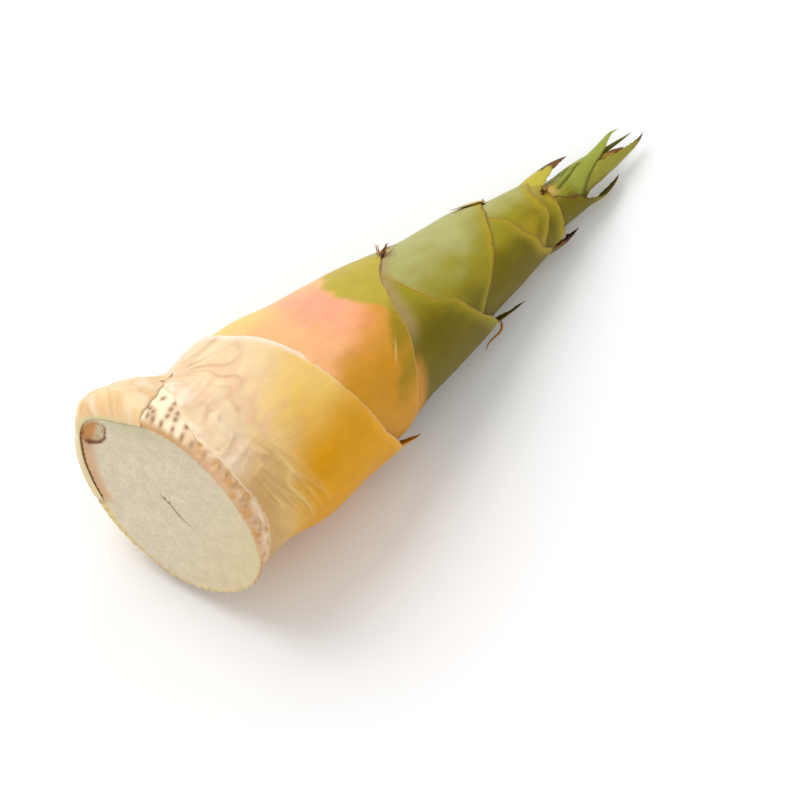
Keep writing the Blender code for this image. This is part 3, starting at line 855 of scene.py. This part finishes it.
def bud_band(angle, rim, knobs, seam, sizes):
    """The band of root buds, from the seam at the rim up and in under the first whole sheath.

    Its radius is the pared outline plus the rim's knobs, and for each bud a Gaussian bump with a
    narrower pit in its middle.
    """
    above = np.concatenate([np.linspace(0.0, 1.0, 50) ** 1.25, [1.1, 1.3]])[:, None]
    start = cut_height(rim, angle)
    height = start + above * (foot_line(angle) - start)
    lift = height - start
    buds, hearts = np.zeros(height.shape), np.zeros(height.shape)
    size = sizes.bud / MM
    for where, up, scale in zip(*bud_places(sizes.bud_spacing / MM)):
        off = turned(angle - where) * DEGREE
        gone = np.hypot((off + 0.35 * (lift - up)) / 0.75, (lift - up) / 1.25) / (size * scale)
        buds += np.exp(-(gone**2)) * scale
        hearts += 0.85 * np.exp(-((gone * 1.8) ** 2))
    lumpy = 0.55 * lumps(8, angle / 3.4, lift / 1.5) + 0.25 * lumps(13, angle / 1.3, lift / 0.9)
    band = smooth((from_stub(angle) - 78.0) / 12.0)
    side = pared_radius(height, angle) - 0.1 * ramp(lift, 0.0, 1.5) + knobs * ramp(lift, 3.2, 0.0)
    side = side + 0.35 * buds - 0.75 * hearts + lumpy * (0.15 + 0.65 * band) * ramp(lift, 0.0, 0.8)
    side = side - ramp(above, 1.0, 1.15) * 1.7
    worn = band * smooth(1.1 - 0.4 * above + 0.4 * lumps(14, angle / 5, lift / 1.6))
    # Pale papery patches, partly painted highlight on the band's lumps.
    papery = 0.7 * band * smooth(0.4 + 1.1 * lumps(15, angle / 4.0, lift / 1.8))
    masks = {
        "rim": np.maximum(ramp(lift, 1.8, 0.0), worn),
        "bud": np.clip(buds, 0, 1) * 0.7,
        "heart": np.clip(hearts, 0, 1) * (1 - 0.65 * band),
        "band": np.ones(height.shape),
        "straw": ramp(angle, -58, -70) + 0 * lift,
        "chalk": papery * (0.35 + 0.65 * above),
        "shade": ramp(above, 0.94, 1.0) * 0.2,
    }
    points = on_shoot(height, angle, side)
    points[0] = seam
    return Patch(points, masks), height[-1:]


def hidden_core(angle, start, seam):
    """The culm inside its sheaths, from the seam up, and its lid drawn in to one point."""
    up = np.linspace(0.0, 1.0, 12)[:, None]
    height = start + (CULM_TOP - start) * up
    radius = layer_radius(len(LEAVES), height, angle, CORE_LIP) - CORE_ROOM
    radius = radius - 3.0 * ramp(height, 178.0, 190.0)
    points = on_shoot(height, angle, np.maximum(radius, 0.8))
    points[0] = seam
    lid = points[-1:].mean(axis=1, keepdims=True) + 0 * points[-1:]
    return [Patch(points), Patch(np.concatenate([points[-1:], lid]))]


def culm_patches(sizes):
    """The solid culm as one surface of turning: cut face, band of root buds, hidden core and lid."""
    angle = np.linspace(-180.0, 180.0, 621)[None, :]
    rim = through(CUT, angle)
    knobs = rim_knobs(angle)
    face = cut_face(angle, rim, knobs)
    band, top = bud_band(angle, rim, knobs, face.points[-1], sizes)
    return [face, band, *hidden_core(angle, top, band.points[-1])]


def flesh_material(colours):
    """Moist shoot flesh, sawn across: pale and waxy, speckled where each fibre bundle is cut."""
    made, tree, shader = start_material(
        "sawn shoot flesh", 0.55, 1.36, Subsurface_Weight=0.15, Subsurface_Scale=0.002
    )
    place = node(tree, "ShaderNodeTexCoord").outputs["Object"]
    # Fibre bundles show as pale dots about 1 mm apart, among fine darker flecks.
    bundles = node(tree, "ShaderNodeTexVoronoi", {"Vector": place}, in_2=760.0).outputs[0]
    fine = node(tree, "ShaderNodeTexNoise", {"Vector": place}, in_2=900.0, in_3=3.0).outputs[0]
    cloud = node(tree, "ShaderNodeTexNoise", {"Vector": place}, in_2=220.0, in_3=4.0).outputs[0]
    fleck = node(tree, "ShaderNodeMapRange", {0: fine}, in_1=0.48, in_2=0.7, in_3=0.0, in_4=0.3)
    dot = node(tree, "ShaderNodeMapRange", {0: bundles}, in_1=0.1, in_2=0.45, in_3=0.5, in_4=0.0)
    layers = [
        (fleck.outputs[0], "#b9ad92"), (dot.outputs[0], "#eee6d6"), ("warm", "#ddcba0"),
        ("grey", "#cdc3a2"), ("blush", "#d3ac84"), ("line", "#8c4f28"), ("band", colours.band),
        ("rim", colours.flesh_rim), ("straw", "#e6cf94"), ("chalk", colours.chalk),
        ("bud", "#d8b48c"), ("heart", colours.bud), ("pocket", "#c98f52"), ("pale", "#cdbf9f"),
        ("pocket_wall", "#6a3620"), ("slit", "#8d8450"), ("shade", "#b98c5c"),
    ]
    skin = paint(tree, colours.flesh, layers)
    finish_skin(tree, shader, skin, cloud, 1.04, fine, 0.35, 0.0003)
    return made


class SHOOT_OT_culm(bpy.types.Operator):
    """The fleshy culm, with its cut face, its rim and its band of root buds"""

    bl_idname = "shoot.culm"
    bl_label = "Culm"

    def execute(self, context):
        sizes, colours, _ = settings()
        build_piece("culm", culm_patches(sizes), "culm_flesh", flesh_material(colours))
        return {"FINISHED"}


# ---------------------------------------------------------------- the stub


# How far the stub stands off the culm, and the angle of its free margin, both by height.
STUB_SWELL = (
    (-9, 4.2), (-6, 4.5), (0, 5.2), (6, 4.5), (12, 4.2), (18, 1.9), (24, 0.5), (28, 0.1), (32, 0.0),
)
STUB_MARGIN = ((-9, 47.5), (1, 44.2), (10, 38.8), (18, 31.8), (25, 25.5), (32, 17.0))
STUB_RADIUS = 44.0  # the radius that its map takes
STUB_ROUND = 4.0  # height over which it rounds out from the cut


def stub_patches():
    """The trimmed oldest sheath: a strip that rounds out from the cut over a side bud.

    Its first rows lie in the cut, a narrow rim round the flesh. Above them its outer face stands off
    the culm by the swell at that height, rounded in by a quarter circle near the cut.
    """
    across = np.linspace(0.0, 1.0, 160)[None, :]
    row = np.linspace(0.0, 1.0, 90)[:, None]
    heel = np.clip(row / 0.05, 0.0, 1.0)
    thin = 0.35 + 0.65 * ramp(across, 1.0, 0.8)
    up = np.clip((row - 0.05) / 0.95, 0.0, 1.0) ** 1.3
    low = -64.0 + 4.0 * lumps(45, up * 9)
    high = through(STUB_MARGIN, -8.0 + 36.0 * up) + 0.5 * lumps(46, up * 9)
    angle = low + (high - low) * across
    top = 27.0 + 1.2 * lumps(40, across * 14) + 0.6 * lumps(41, across * 60)
    seam = through(CUT, angle) + 0.2 + 0.95 * heel
    start = cut_height(seam, angle)
    height = start + (top - start) * up
    skin = pared_radius(height, angle) - 0.12 + 0.22 * smooth((height - foot_line(angle)) / 2.0)
    body = ramp(angle, -17.0, 7.0) * smooth((high - angle + 3.0) / 17.0)
    swell = through(STUB_SWELL, height) * (0.02 + 0.98 * body)
    swell = swell * quarter((height - start) / STUB_ROUND)
    crumple = 0.4 * lumps(42, angle / 7, height / 5) + 0.25 * lumps(43, angle / 2.4, height / 3.5)
    crumple = crumple * body * smooth((height - start) / 3.0) * smooth((1 - up) * 8)
    border = np.minimum(np.minimum(across, 1 - across) / 0.012, (1 - up) / 0.03)
    thick = (0.9 * heel * thin * (1 - 0.35 * up) + swell + crumple) * quarter(border)
    streak = lumps(47, angle / 2.2, height / 11)
    dust = 0.9 * lumps(56, angle / 8, height / 4) + 0.3 * lumps(57, angle / 3, height / 3)
    wrinkle = creases(58, angle / 15 + height / 12, height / 5 - angle / 20)
    masks = {
        "heel": ramp(row, 0.06, 0.05) + 0 * height,
        "margin": smooth(1 - (high - angle) / 1.5) * smooth(up * 20) * 0.5,
        "low": ramp(up, 0.35, 0.0) + 0 * height,
        "stain": smooth(0.35 + 0.8 * lumps(44, angle / 10, height / 6) + 0.2 * streak) * 0.7,
        "chalk": smooth(dust) * 0.8,
        "wrinkle": wrinkle**2 * 0.4 * body,
        "dot": smooth(1 - np.hypot((angle - 29.5) / 2.0, (height - 19.0) / 1.4)),
        "left": ramp(angle, -4.0, -16.0) + 0 * height,
    }
    outer, inner = on_shoot(height, angle, skin + thick), on_shoot(height, angle, skin)
    return lens(outer, inner, masks, wrap_map(np.radians(angle) * STUB_RADIUS, height))


def stub_material(colours):
    """Cut heel of an old sheath: tan, leathery, wrinkled, with orange stains and a brown margin."""
    layers = [
        ("low", "#f0d09a"), ("stain", "#e3b988"), ("left", "#e3d0a4"), ("chalk", "#f3e0c0"),
        ("wrinkle", "#c99a66"), ("heel", "#d9cf9c"), ("margin", "#c59a68"), ("dot", "#6b4a10"),
    ]
    return sheath_material("old sheath heel", colours.cream, layers, bump=0.15, roughness=0.6)


class SHOOT_OT_stub(bpy.types.Operator):
    """What is left of the oldest sheath, trimmed off with the cut"""

    bl_idname = "shoot.stub"
    bl_label = "Stub"

    def execute(self, context):
        _, colours, _ = settings()
        build_piece(
            "stub", stub_patches(), "sheath_01_stub", stub_material(colours)
        )
        return {"FINISHED"}


# ---------------------------------------------------------------- the sheaths


def creases(seed, across, along):
    """Sharp ridges along the lines where smooth noise passes through 0."""
    return (1 - np.abs(lumps(seed, across, along))) ** 4


def climbing_folds(angle, height):
    """Creases that climb round the first whole sheath's lower side, a few millimetres apart."""
    climb = height - 0.34 * angle
    sweep = climb + 1.4 * lumps(49, angle / 30, height / 30)
    fold = creases(50, sweep / 3.6, angle / 50) + 0.5 * creases(56, sweep / 2.0, angle / 30)
    fold = fold * ramp(angle, 82, 108) * ramp(angle, 172, 138)
    return fold * ramp(height, 12, 22) * smooth(-(climb + 3) / 7)


def spreading_creases(angle, height):
    """Creases that spread from the corner where the stub ends, like the papery skin there."""
    across, along = (angle - 22.0) * 0.68, height - 27.0  # millimetres from the corner
    away = np.hypot(across, along)
    turn = np.arctan2(along, across)
    crease = creases(48, turn * 4.2 + 0.6 * lumps(47, away / 7, turn), away / 19) ** 1.5
    crease = crease * ramp(away, 52, 18) * ramp(away, 2, 8)
    return crease * ramp(angle, 10, 20) * (0.5 + 0.5 * lumps(46, across / 8, along / 8))


def first_relief(angle, height, below):
    """Folds that climb round the lower side, crumples by the foot and fine ribs."""
    fold = climbing_folds(angle, height)
    by_foot = ramp(height, 34, 16) * smooth((112 - np.abs(angle - 30)) / 40)
    crumple = 0.55 * creases(51, angle / 7 + height / 16, height / 9 - angle / 60)
    crumple = crumple + 0.35 * lumps(57, angle / 4.5, height / 3.2)
    ribs = lumps(52, angle / 1.6, height / 26)
    dents = 0.5 * lumps(58, angle / 26, height / 16)
    fold = 0.95 * fold + 0.8 * spreading_creases(angle, height)
    return fold + 1.1 * crumple * by_foot + 0.03 * ribs + dents


def first_masks(angle, height, below):
    """Yellow past a line falling with the angle, amber below, and by the stub blush and pale patches,
    partly painted highlight.
    """
    cloud = lumps(53, angle / 22, height / 12)
    above = height - foot_line(angle)
    yellow = smooth((height - 45 + 0.54 * (angle - 76)) / 40 + 0.5 + 0.2 * cloud)
    foot = ramp(above, 20, 0)
    by_stub = smooth((84 - np.abs(turned(angle - 30))) / 30)
    blush = smooth(lumps(55, angle / 4.5 + height / 8, height / 7) * 1.3 + 0.2) * by_stub
    dry = smooth((lumps(45, angle / 2.3, below / 0.9) - 0.7) / 0.12) * smooth(1.4 - below / 3)
    return {
        "yellow": yellow * ramp(above, 0, 12) * ramp(angle, 30, 80),
        "amber": smooth((angle - 88) / 40 + 0.15 * cloud) * ramp(height, 18, 44),
        "gold": ramp(angle, 104, 134) * ramp(below, 5, 0) * 0.7,
        # Painted light on the climbing folds: a paler highlight on each crest, and painted shade just
        # beside it.
        "fold": climbing_folds(angle, height) * 0.6,
        "valley": climbing_folds(angle, height + 1.1) * 0.6,
        "wrinkle": spreading_creases(angle, height + 0.5) * 0.9,
        "rim": ramp(above, 1.6, 0.0) * ramp(angle, 20, 40),
        # Pale papery patches by the stub, partly painted highlight on the crumples.
        "chalk": smooth(lumps(54, angle / 9, height / 6) * 1.8 + 0.3) * foot * by_stub,
        "blush": blush * ramp(height, 60, 34) * 0.45,
        "tan": ramp(angle, 86, 120) * ramp(height, 33, 17),
        "fleck": smooth((lumps(59, angle / 2.1, height / 2.4) - 0.8) / 0.1) * foot * by_stub * 0.6,
        "membrane": smooth(1 - below / 3.6 + 0.4 * cloud) * ramp(angle, 104, 74) * 0.9,
        "dry": dry * ramp(angle, 100, 80) * 0.7,
    }


def first_material(colours):
    """Fresh sheath, dug pale and cured to amber in the light, smooth as waxed paper."""
    layers = [
        ("yellow", colours.yellow), ("amber", colours.amber), ("gold", "#eeb13a"),
        ("tan", "#cda468"), ("chalk", colours.chalk), ("blush", "#e2b494"), ("fleck", "#b98655"),
        # The folds' paler crests are painted highlight, and their darker sides are painted shade.
        ("valley", "#b07f2c"), ("fold", "#f2d28c"), ("wrinkle", "#c0936c"), ("rim", "#eed3ae"),
        # The blade's inner face is a darker amber: painted shade.
        ("membrane", "#f4d9c6"), ("edge", "#e9c68a"), ("blade", "#cf9420"), ("inside", "#b97c1c"),
        ("dry", colours.tan),
    ]
    return sheath_material("amber sheath", colours.cream, layers, bump=0.25, roughness=0.4)


def second_relief(angle, height, below):
    """Fine ribs and a few shallow hollows."""
    return 0.05 * lumps(60, angle / 1.8, height / 30) + 0.25 * lumps(61, angle / 22, height / 14)


def second_masks(angle, height, below):
    """Pink in the middle, lemon low on the upper side, gold and rust round the lower side.

    Green blotches lie near the edge above, and olive ones below, with a pale streak among them.
    """
    blot = lumps(62, angle / 9, height / 8) * 0.45 + lumps(63, angle / 3.0, height / 9) * 0.24
    rise = 94.5 + 0.25 * np.abs(angle - 47) + 8 * ramp(angle, 68, 80) * ramp(below, 2, 7)
    upper = smooth((height - rise) / 5 + 0.5 + blot) * smooth((94 - angle) / 14 + 0.3 * blot)
    right = smooth((11 - below) / 7 + 0.4 + blot) * smooth((angle - 66 - 2.2 * below) / 14)
    right = right * ramp(angle, 146, 116)
    away, up = angle - 104.5, height - 96.5
    streak = smooth(1.1 - np.hypot(away / 18 - up / 7.8, (up + 0.43 * away) / 0.7))
    return {
        "pink": smooth(1.15 - np.hypot((angle - 48) / 44, (height - 87) / 18) + 0.3 * blot) * 0.9,
        "lemon": ramp(angle, 50, 16) * ramp(height, 88, 64),
        "gold": smooth((angle - 68 + 1.1 * (height - 84)) / 26 + 0.2 * blot),
        "rust": smooth((angle - 80) / 30 + 0.3 * blot),
        "green": np.clip(upper, 0, 1),
        "olive": np.clip(right * (0.55 + 0.45 * smooth(1.4 * blot + 0.5)), 0, 1),
        "streak": streak * 0.8,
    }


def second_material(colours):
    """Fresh sheath with a pink blush, greening where it met the light."""
    layers = [
        ("lemon", "#f0c672"), ("gold", "#d89640"), ("rust", colours.rust), ("pink", "#f59f7f"),
        ("green", colours.green), ("olive", "#9c8013"), ("streak", "#e8c987"),
        ("edge", "#d8b468"), ("blade", colours.brown), ("inside", colours.brown),
        ("dry", "#a8794a"), ("burnt", colours.black),
    ]
    return sheath_material("blushed sheath", colours.peach, layers, bump=0.15, roughness=0.42)


def green_relief(angle, height, below):
    """Fine ribs under a nearly even skin."""
    return 0.04 * lumps(70, angle / 2.4, height / 30) + 0.18 * lumps(71, angle / 26, height / 12)


def green_masks(angle, height, below):
    """Waxy bloom above, darker olive partly painted as shade below, and gold and a brown line by the
    edge.

    The edge's own height tells one sheath from another: on the fourth the bloom reaches further
    round, and the seventh is golden in front. The foot is tan below, and purple above beside the
    third sheath's edge.
    """
    cloud = lumps(72, angle / 24, height / 11) * 0.3 + lumps(73, angle / 7, height / 9) * 0.12
    edge = height + below
    turn = 84 - 16 * ramp(height, 165, 187)
    turn = turn + 12 * ramp(edge, 138, 144) * ramp(edge, 176, 170)
    late = ramp(height, 150, 164)
    golden = ramp(height, 195, 190) * ramp(height, 172, 178) * ramp(angle, 70, 94)
    golden = golden * ramp(below, 3, 11) * ramp(edge, 189, 192)
    golden = golden * ramp(angle, 128, 116)
    reach = 20 - 13 * ramp(height, 160, 178)
    # Darker olive on the lower side, partly painted shade.
    dark_olive_and_shade = smooth((angle - turn) / 38 + cloud) * smooth((below - 1.5) / 8 + 0.2)
    beside_third = smooth(1.3 - (height - edge_height(LEAVES[1], angle)) / 6.5)
    return {
        "bloom": smooth((turn - angle) / 46 + cloud) * smooth((below - 1) / reach + 0.15),
        "moss": dark_olive_and_shade * (1 - 0.4 * golden),
        "gold": smooth(1 - below / (2.6 + 3.0 * late) + cloud) * 0.5 + 0.6 * golden,
        "foot": ramp(height, 110, 102) * smooth((angle - 112) / 14 + cloud),
        "purple": beside_third * ramp(angle, 118, 94) * 0.62,
        "line": smooth(1 - np.abs(below - 0.8) / 0.5) * smooth(0.5 + cloud * 3) * 0.7,
    }


def green_material(name, colours, edge, base, blade, inside):
    """Green sheath with a waxy bloom, satin, with a thin dry line along its edge."""
    layers = [
        ("bloom", colours.bloom), ("moss", colours.moss), ("gold", colours.gold),
        ("foot", "#c8862e"), ("purple", "#a98d64"), ("line", "#7d5524"), ("edge", edge),
        ("blade", blade), ("inside", inside), ("pale", "#e6b568"), ("dry", colours.brown),
        # crease is painted shade: dark in the front leaf's crease and along its shaded margins.
        ("burnt", colours.black), ("crease", "#454a06"),
    ]
    return sheath_material(name, base, layers, bump=0.12, roughness=0.46)


def blade_masks(seed, tip, margin=0.0, burnt=1.0, left=0.0, pale=0.0):
    """Masks of a blade: dry past the tip share and along the margins, burnt past the burnt share.

    left is the share of the width that is burnt from one margin, halfway along, and pale the share
    of the length that is bleached from the base.
    """

    def masks_of(share, place, height, angle):
        cloud = 0.5 * lumps(seed, height / 1.6, place * 2.2)
        cloud = cloud + 0.3 * lumps(seed + 1, height / 0.7, place * 5)
        dry = smooth((share - tip) / 0.1 + cloud)
        if margin:
            dry = np.maximum(dry, smooth((np.abs(place) - 1 + margin) / 0.08 + cloud))
        scorched = smooth((share - burnt) / 0.1 + cloud)
        if left:
            across = smooth((left - (place + 1) / 2) / 0.12 + 0.6 * cloud)
            scorched = np.maximum(scorched, across * ramp(share, 0.4, 0.55))
        return {
            "blade": 1.0, "dry": dry, "burnt": scorched,
            "pale": smooth((pale - share) / 0.12 + 0.3 * cloud) if pale else 0.0,
        }

    return masks_of


def leaf_masks(seed, low, **shape):
    """Masks of a whole young leaf: its sheath up to the share low, and its blade beyond."""
    blade = blade_masks(seed, **shape)

    def masks_of(share, place, height, angle):
        made = blade(share, place, height, angle)
        vein = lumps(seed + 2, angle / 5.0, height / 30)
        made["blade"] = smooth((share - low) / 0.1) + 0 * place
        made["edge"] = smooth((np.abs(place) - 0.96) / 0.03) * 0.7 + 0 * share
        made["bloom"] = smooth((62 - angle) / 40 + 0.3 * vein) * 0.45
        # Darker olive on the lower side, partly painted shade.
        made["moss"] = smooth((angle - 66) / 44 + 0.35 * vein) * 0.9
        made["pale"] = made["pale"] * ramp(angle, 96, 46) * 0.75
        return made

    return masks_of


def tenth_crease(share, place, height, angle):
    """Two creases that climb across the front young leaf, among parallel ribs."""
    away = np.abs(turned(angle - 62.0 + (height - 214.0) * 1.75))
    fold = ramp(away, 7.0, 0.0) * ramp(height, 208.0, 212.0) * ramp(height, 231.0, 227.0)
    beside = np.abs(turned(angle - 40.0 + (height - 214.0) * 1.5))
    second = ramp(beside, 6.0, 0.0) * ramp(height, 214.0, 218.0)
    fold = fold + 0.7 * second * ramp(height, 226.0, 222.0)
    return 0.06 * np.sin(np.radians(angle) * 24) - 0.75 * fold


def tenth_masks(share, place, height, angle):
    """The front young leaf's own masks: those of a leaf, and painted shade in its crease and along
    both margins.
    """
    made = leaf_masks(111, 0.3, tip=0.97, pale=0.3)(share, place, height, angle)
    # Painted shadow: dark bands along both margins, where the neighbouring leaves shade them.
    shade = ramp(place, 0.8, 0.96) * ramp(share, 0.78, 0.68) * 0.7
    shade = np.maximum(shade, ramp(place, -0.66, -0.86) * ramp(share, 0.62, 0.5) * 0.6)
    depth = -tenth_crease(share, place, height, angle)
    made["crease"] = np.maximum(smooth(depth * 1.6 - 0.2), shade)
    return made


def add_leaf(index, relief, masks_of, material, grown):
    """Builds one sheath, with its blade and whatever else has grown at its apex."""
    sizes, _, _ = settings()
    leaf = LEAVES[index]
    patches = sheath_patches(index, sizes, relief, masks_of) + grown
    build_piece(leaf.name + "_leaf", patches, leaf.name, material)


class SHOOT_OT_pale_sheaths(bpy.types.Operator):
    """The two lowest whole sheaths, cream to amber and pink to green"""

    bl_idname = "shoot.pale_sheaths"
    bl_label = "Pale sheaths"

    def execute(self, context):
        _, colours, _ = settings()
        flap = blade_patches(BLADES["sheath_02"], blade_masks(81, tip=0.95), 80)
        add_leaf(0, first_relief, first_masks, first_material(colours), flap)
        burnt = blade_masks(83, tip=0.1, burnt=0.1)
        dried = blade_patches(BLADES["sheath_03"], burnt, 82, torn=0.3)
        dried += tuft(84, (127.0, -24.0, 14.6), 16, 8.0, 0.9, radius=0.16)
        add_leaf(1, second_relief, second_masks, second_material(colours), dried)
        return {"FINISHED"}


class SHOOT_OT_green_sheaths(bpy.types.Operator):
    """The green sheaths, each with its own blade and the bristles beside it"""

    bl_idname = "shoot.green_sheaths"
    bl_label = "Green sheaths"

    def execute(self, context):
        _, colours, _ = settings()
        tan_edge, brown_edge = "#b5924a", "#8f6530"
        # Darker copies of the blade colours for the blades' inner faces: painted shade.
        shaded_green, shaded_brown = "#55560f", "#3f2c10"
        # index, edge, blade, the blade's inner side, how torn its margins are, and its dry parts
        looks = (
            (2, tan_edge, "#6f6a1c", shaded_green, 0.2, dict(tip=0.85, margin=0.28)),
            (3, brown_edge, "#a89a30", shaded_brown, 0.09, dict(tip=0.9, margin=0.3)),
            (4, brown_edge, "#6f641f", shaded_brown, 0.2, dict(tip=0.4, margin=0.45, burnt=0.5)),
            (5, tan_edge, "#b5a83a", shaded_green, 0.09, dict(tip=0.56, burnt=0.84, left=0.55)),
            (6, brown_edge, "#968f30", shaded_green, 0.09, dict(tip=0.8)),
        )
        for index, edge, blade, inside, torn, dried in looks:
            name = LEAVES[index].name
            made = green_material("bloomed " + name, colours, edge, colours.olive, blade, inside)
            masks_of = blade_masks(90 + index, **dried)
            grown = blade_patches(BLADES[name], masks_of, index, torn=torn)
            if name == "sheath_04":
                grown += bristle(DRIED_CURL, 0.6, {"foot": 1.0, "dry": 0.45})
            if name == "sheath_07":
                grown += tuft(97, (201.6, -6.0, 11.0), 30, 3.4, 1.1, radius=0.24)
            add_leaf(index, green_relief, green_masks, made, grown)
        return {"FINISHED"}


class SHOOT_OT_tip_leaves(bpy.types.Operator):
    """The bunch of young leaves at the tip"""

    bl_idname = "shoot.tip_leaves"
    bl_label = "Tip leaves"

    def execute(self, context):
        _, colours, _ = settings()
        # Darker copies of the blade colours for the leaves' inner faces: painted shade.
        dark, shadowed = "#5f5c14", "#4e4710"
        dry_end = leaf_masks(110, 0.62, tip=0.93, margin=0.1, burnt=0.97)
        looks = (
            ("sheath_09", NINTH, "#857f1e", shadowed, 0.07, dry_end),
            ("tip_leaf_10", TENTH, "#8f953a", dark, 0.015, tenth_masks),
            ("tip_leaf_11", ELEVENTH, "#b08a34", "#a8842c", 0.07,
             leaf_masks(112, 0.7, tip=0.8, margin=0.2)),
            ("tip_leaf_12", TWELFTH, "#9a9436", dark, 0.07,
             leaf_masks(113, 0.3, tip=0.86, margin=0.07)),
            ("tip_leaf_13", THIRTEENTH, "#8d9434", "#7c7a22", 0.015,
             leaf_masks(114, 0.5, tip=0.97)),
        )
        for seed, (name, table, blade, inside, torn, masks_of) in enumerate(looks, 120):
            made = green_material("young " + name, colours, "#a98a40", colours.lemon, blade, inside)
            relief = tenth_crease if name == "tip_leaf_10" else None
            patches = blade_patches(table, masks_of, seed, relief, rows=100, columns=45, torn=torn)
            build_piece(name + "_leaf", patches, name, made)
        return {"FINISHED"}


# ---------------------------------------------------------------- the stage


FLOOR_HALF, FLOOR_DROP = 2.0, 0.0002  # in metres: half its side, and its place below the shoot
# Each lamp's name, place and width in metres, and its share of the key light's power.
LAMPS = (("key", (-0.3, 0.95, 1.5), 1.1, 1.0), ("side", (0.9, 0.9, 1.0), 0.6, 0.15))
# The view's middle, in millimetres: a place in the frame, then moved to the right and down.
AIM = (-2.2, -3.6, 35.0)
AIM_RIGHT, AIM_DOWN = 2.06, 30.2


class SHOOT_OT_stage(bpy.types.Operator):
    """The pale floor, the soft studio light and the camera"""

    bl_idname = "shoot.stage"
    bl_label = "Stage"

    def execute(self, context):
        _, _, stage = settings()
        scene = context.scene
        scene.view_settings.view_transform = "Standard"
        world = bpy.data.worlds.new("white room")
        world.use_nodes = True
        sky = world.node_tree.nodes["Background"]
        sky.inputs[0].default_value = (1.0, 1.0, 1.0, 1.0)
        sky.inputs[1].default_value = stage.fill
        scene.world = world

        x, y = np.meshgrid((-FLOOR_HALF, FLOOR_HALF), (-FLOOR_HALF, FLOOR_HALF))
        corners = np.stack([x, y, 0 * x - FLOOR_DROP], -1).reshape(-1, 3)
        floor_mesh = bpy.data.meshes.new("floor")
        floor_mesh.from_pydata(corners, [], [(0, 1, 3, 2)])
        floor = bpy.data.objects.new("floor", floor_mesh)
        paper, _, _ = start_material("white paper", 0.7, 1.5, Base_Color=(0.9, 0.9, 0.9, 1))
        floor_mesh.materials.append(paper)
        scene.collection.objects.link(floor)

        look = view_direction(stage.azimuth, stage.elevation)
        right = np.array([math.cos(stage.azimuth), math.sin(stage.azimuth), 0.0])
        up = np.cross(right, look)
        for name, place, width, share in LAMPS:
            light = bpy.data.lights.new(name, "AREA")
            light.size = width
            light.energy = stage.key * share
            lamp = bpy.data.objects.new(name, light)
            lamp.location = place
            lamp.rotation_euler = look_rotation(-lamp.location)
            scene.collection.objects.link(lamp)

        camera = bpy.data.cameras.new("camera")
        camera.lens = stage.lens
        camera.sensor_width = 36.0
        camera.clip_end = 20.0
        eye = bpy.data.objects.new("camera", camera)
        target = np.array(AIM) * MM + right * AIM_RIGHT * MM - up * AIM_DOWN * MM
        eye.location = target - look * stage.distance
        eye.rotation_euler = look_rotation(look)
        scene.collection.objects.link(eye)
        scene.camera = eye
        return {"FINISHED"}


def view_direction(azimuth, elevation):
    """Unit vector of the view: azimuth 0 looks along +Y, and the elevation tips it down."""
    flat = math.cos(elevation)
    return np.array([-math.sin(azimuth) * flat, math.cos(azimuth) * flat, -math.sin(elevation)])


def look_rotation(direction):
    """Euler angles that turn an object's -Z along the direction, with its Y upwards."""
    return Vector(direction).to_track_quat("-Z", "Y").to_euler()


class SHOOT_PT_panel(bpy.types.Panel):
    """Lists the shoot's operators, sizes and colours"""

    bl_idname = "SHOOT_PT_panel"
    bl_label = "Bamboo shoot"
    bl_space_type = "VIEW_3D"
    bl_region_type = "UI"
    bl_category = "Bamboo shoot"

    def draw(self, context):
        for operator in OPERATORS:
            self.layout.operator(operator.bl_idname)
        for group, values in zip(GROUPS, settings()):
            for key in group.__annotations__:
                self.layout.prop(values, key)


OPERATORS = (
    SHOOT_OT_culm,
    SHOOT_OT_stub,
    SHOOT_OT_pale_sheaths,
    SHOOT_OT_green_sheaths,
    SHOOT_OT_tip_leaves,
    SHOOT_OT_stage,
)
GROUPS = (SHOOT_PG_sizes, SHOOT_PG_colours, SHOOT_PG_stage)


def register():
    """Adds the classes, and the scene's own sizes, colours and stage values."""
    for made in (*GROUPS, *OPERATORS, SHOOT_PT_panel):
        bpy.utils.register_class(made)
    bpy.types.Scene.shoot_sizes = PointerProperty(type=SHOOT_PG_sizes)
    bpy.types.Scene.shoot_colours = PointerProperty(type=SHOOT_PG_colours)
    bpy.types.Scene.shoot_stage = PointerProperty(type=SHOOT_PG_stage)


def unregister():
    """Takes away what register adds, in the opposite order."""
    del bpy.types.Scene.shoot_stage
    del bpy.types.Scene.shoot_colours
    del bpy.types.Scene.shoot_sizes
    for made in (SHOOT_PT_panel, *OPERATORS[::-1], *GROUPS[::-1]):
        bpy.utils.unregister_class(made)


def main():
    """Builds every piece and the stage."""
    register()
    bpy.ops.shoot.culm()
    bpy.ops.shoot.stub()
    bpy.ops.shoot.pale_sheaths()
    bpy.ops.shoot.green_sheaths()
    bpy.ops.shoot.tip_leaves()
    bpy.ops.shoot.stage()


if __name__ == "__main__":
    main()
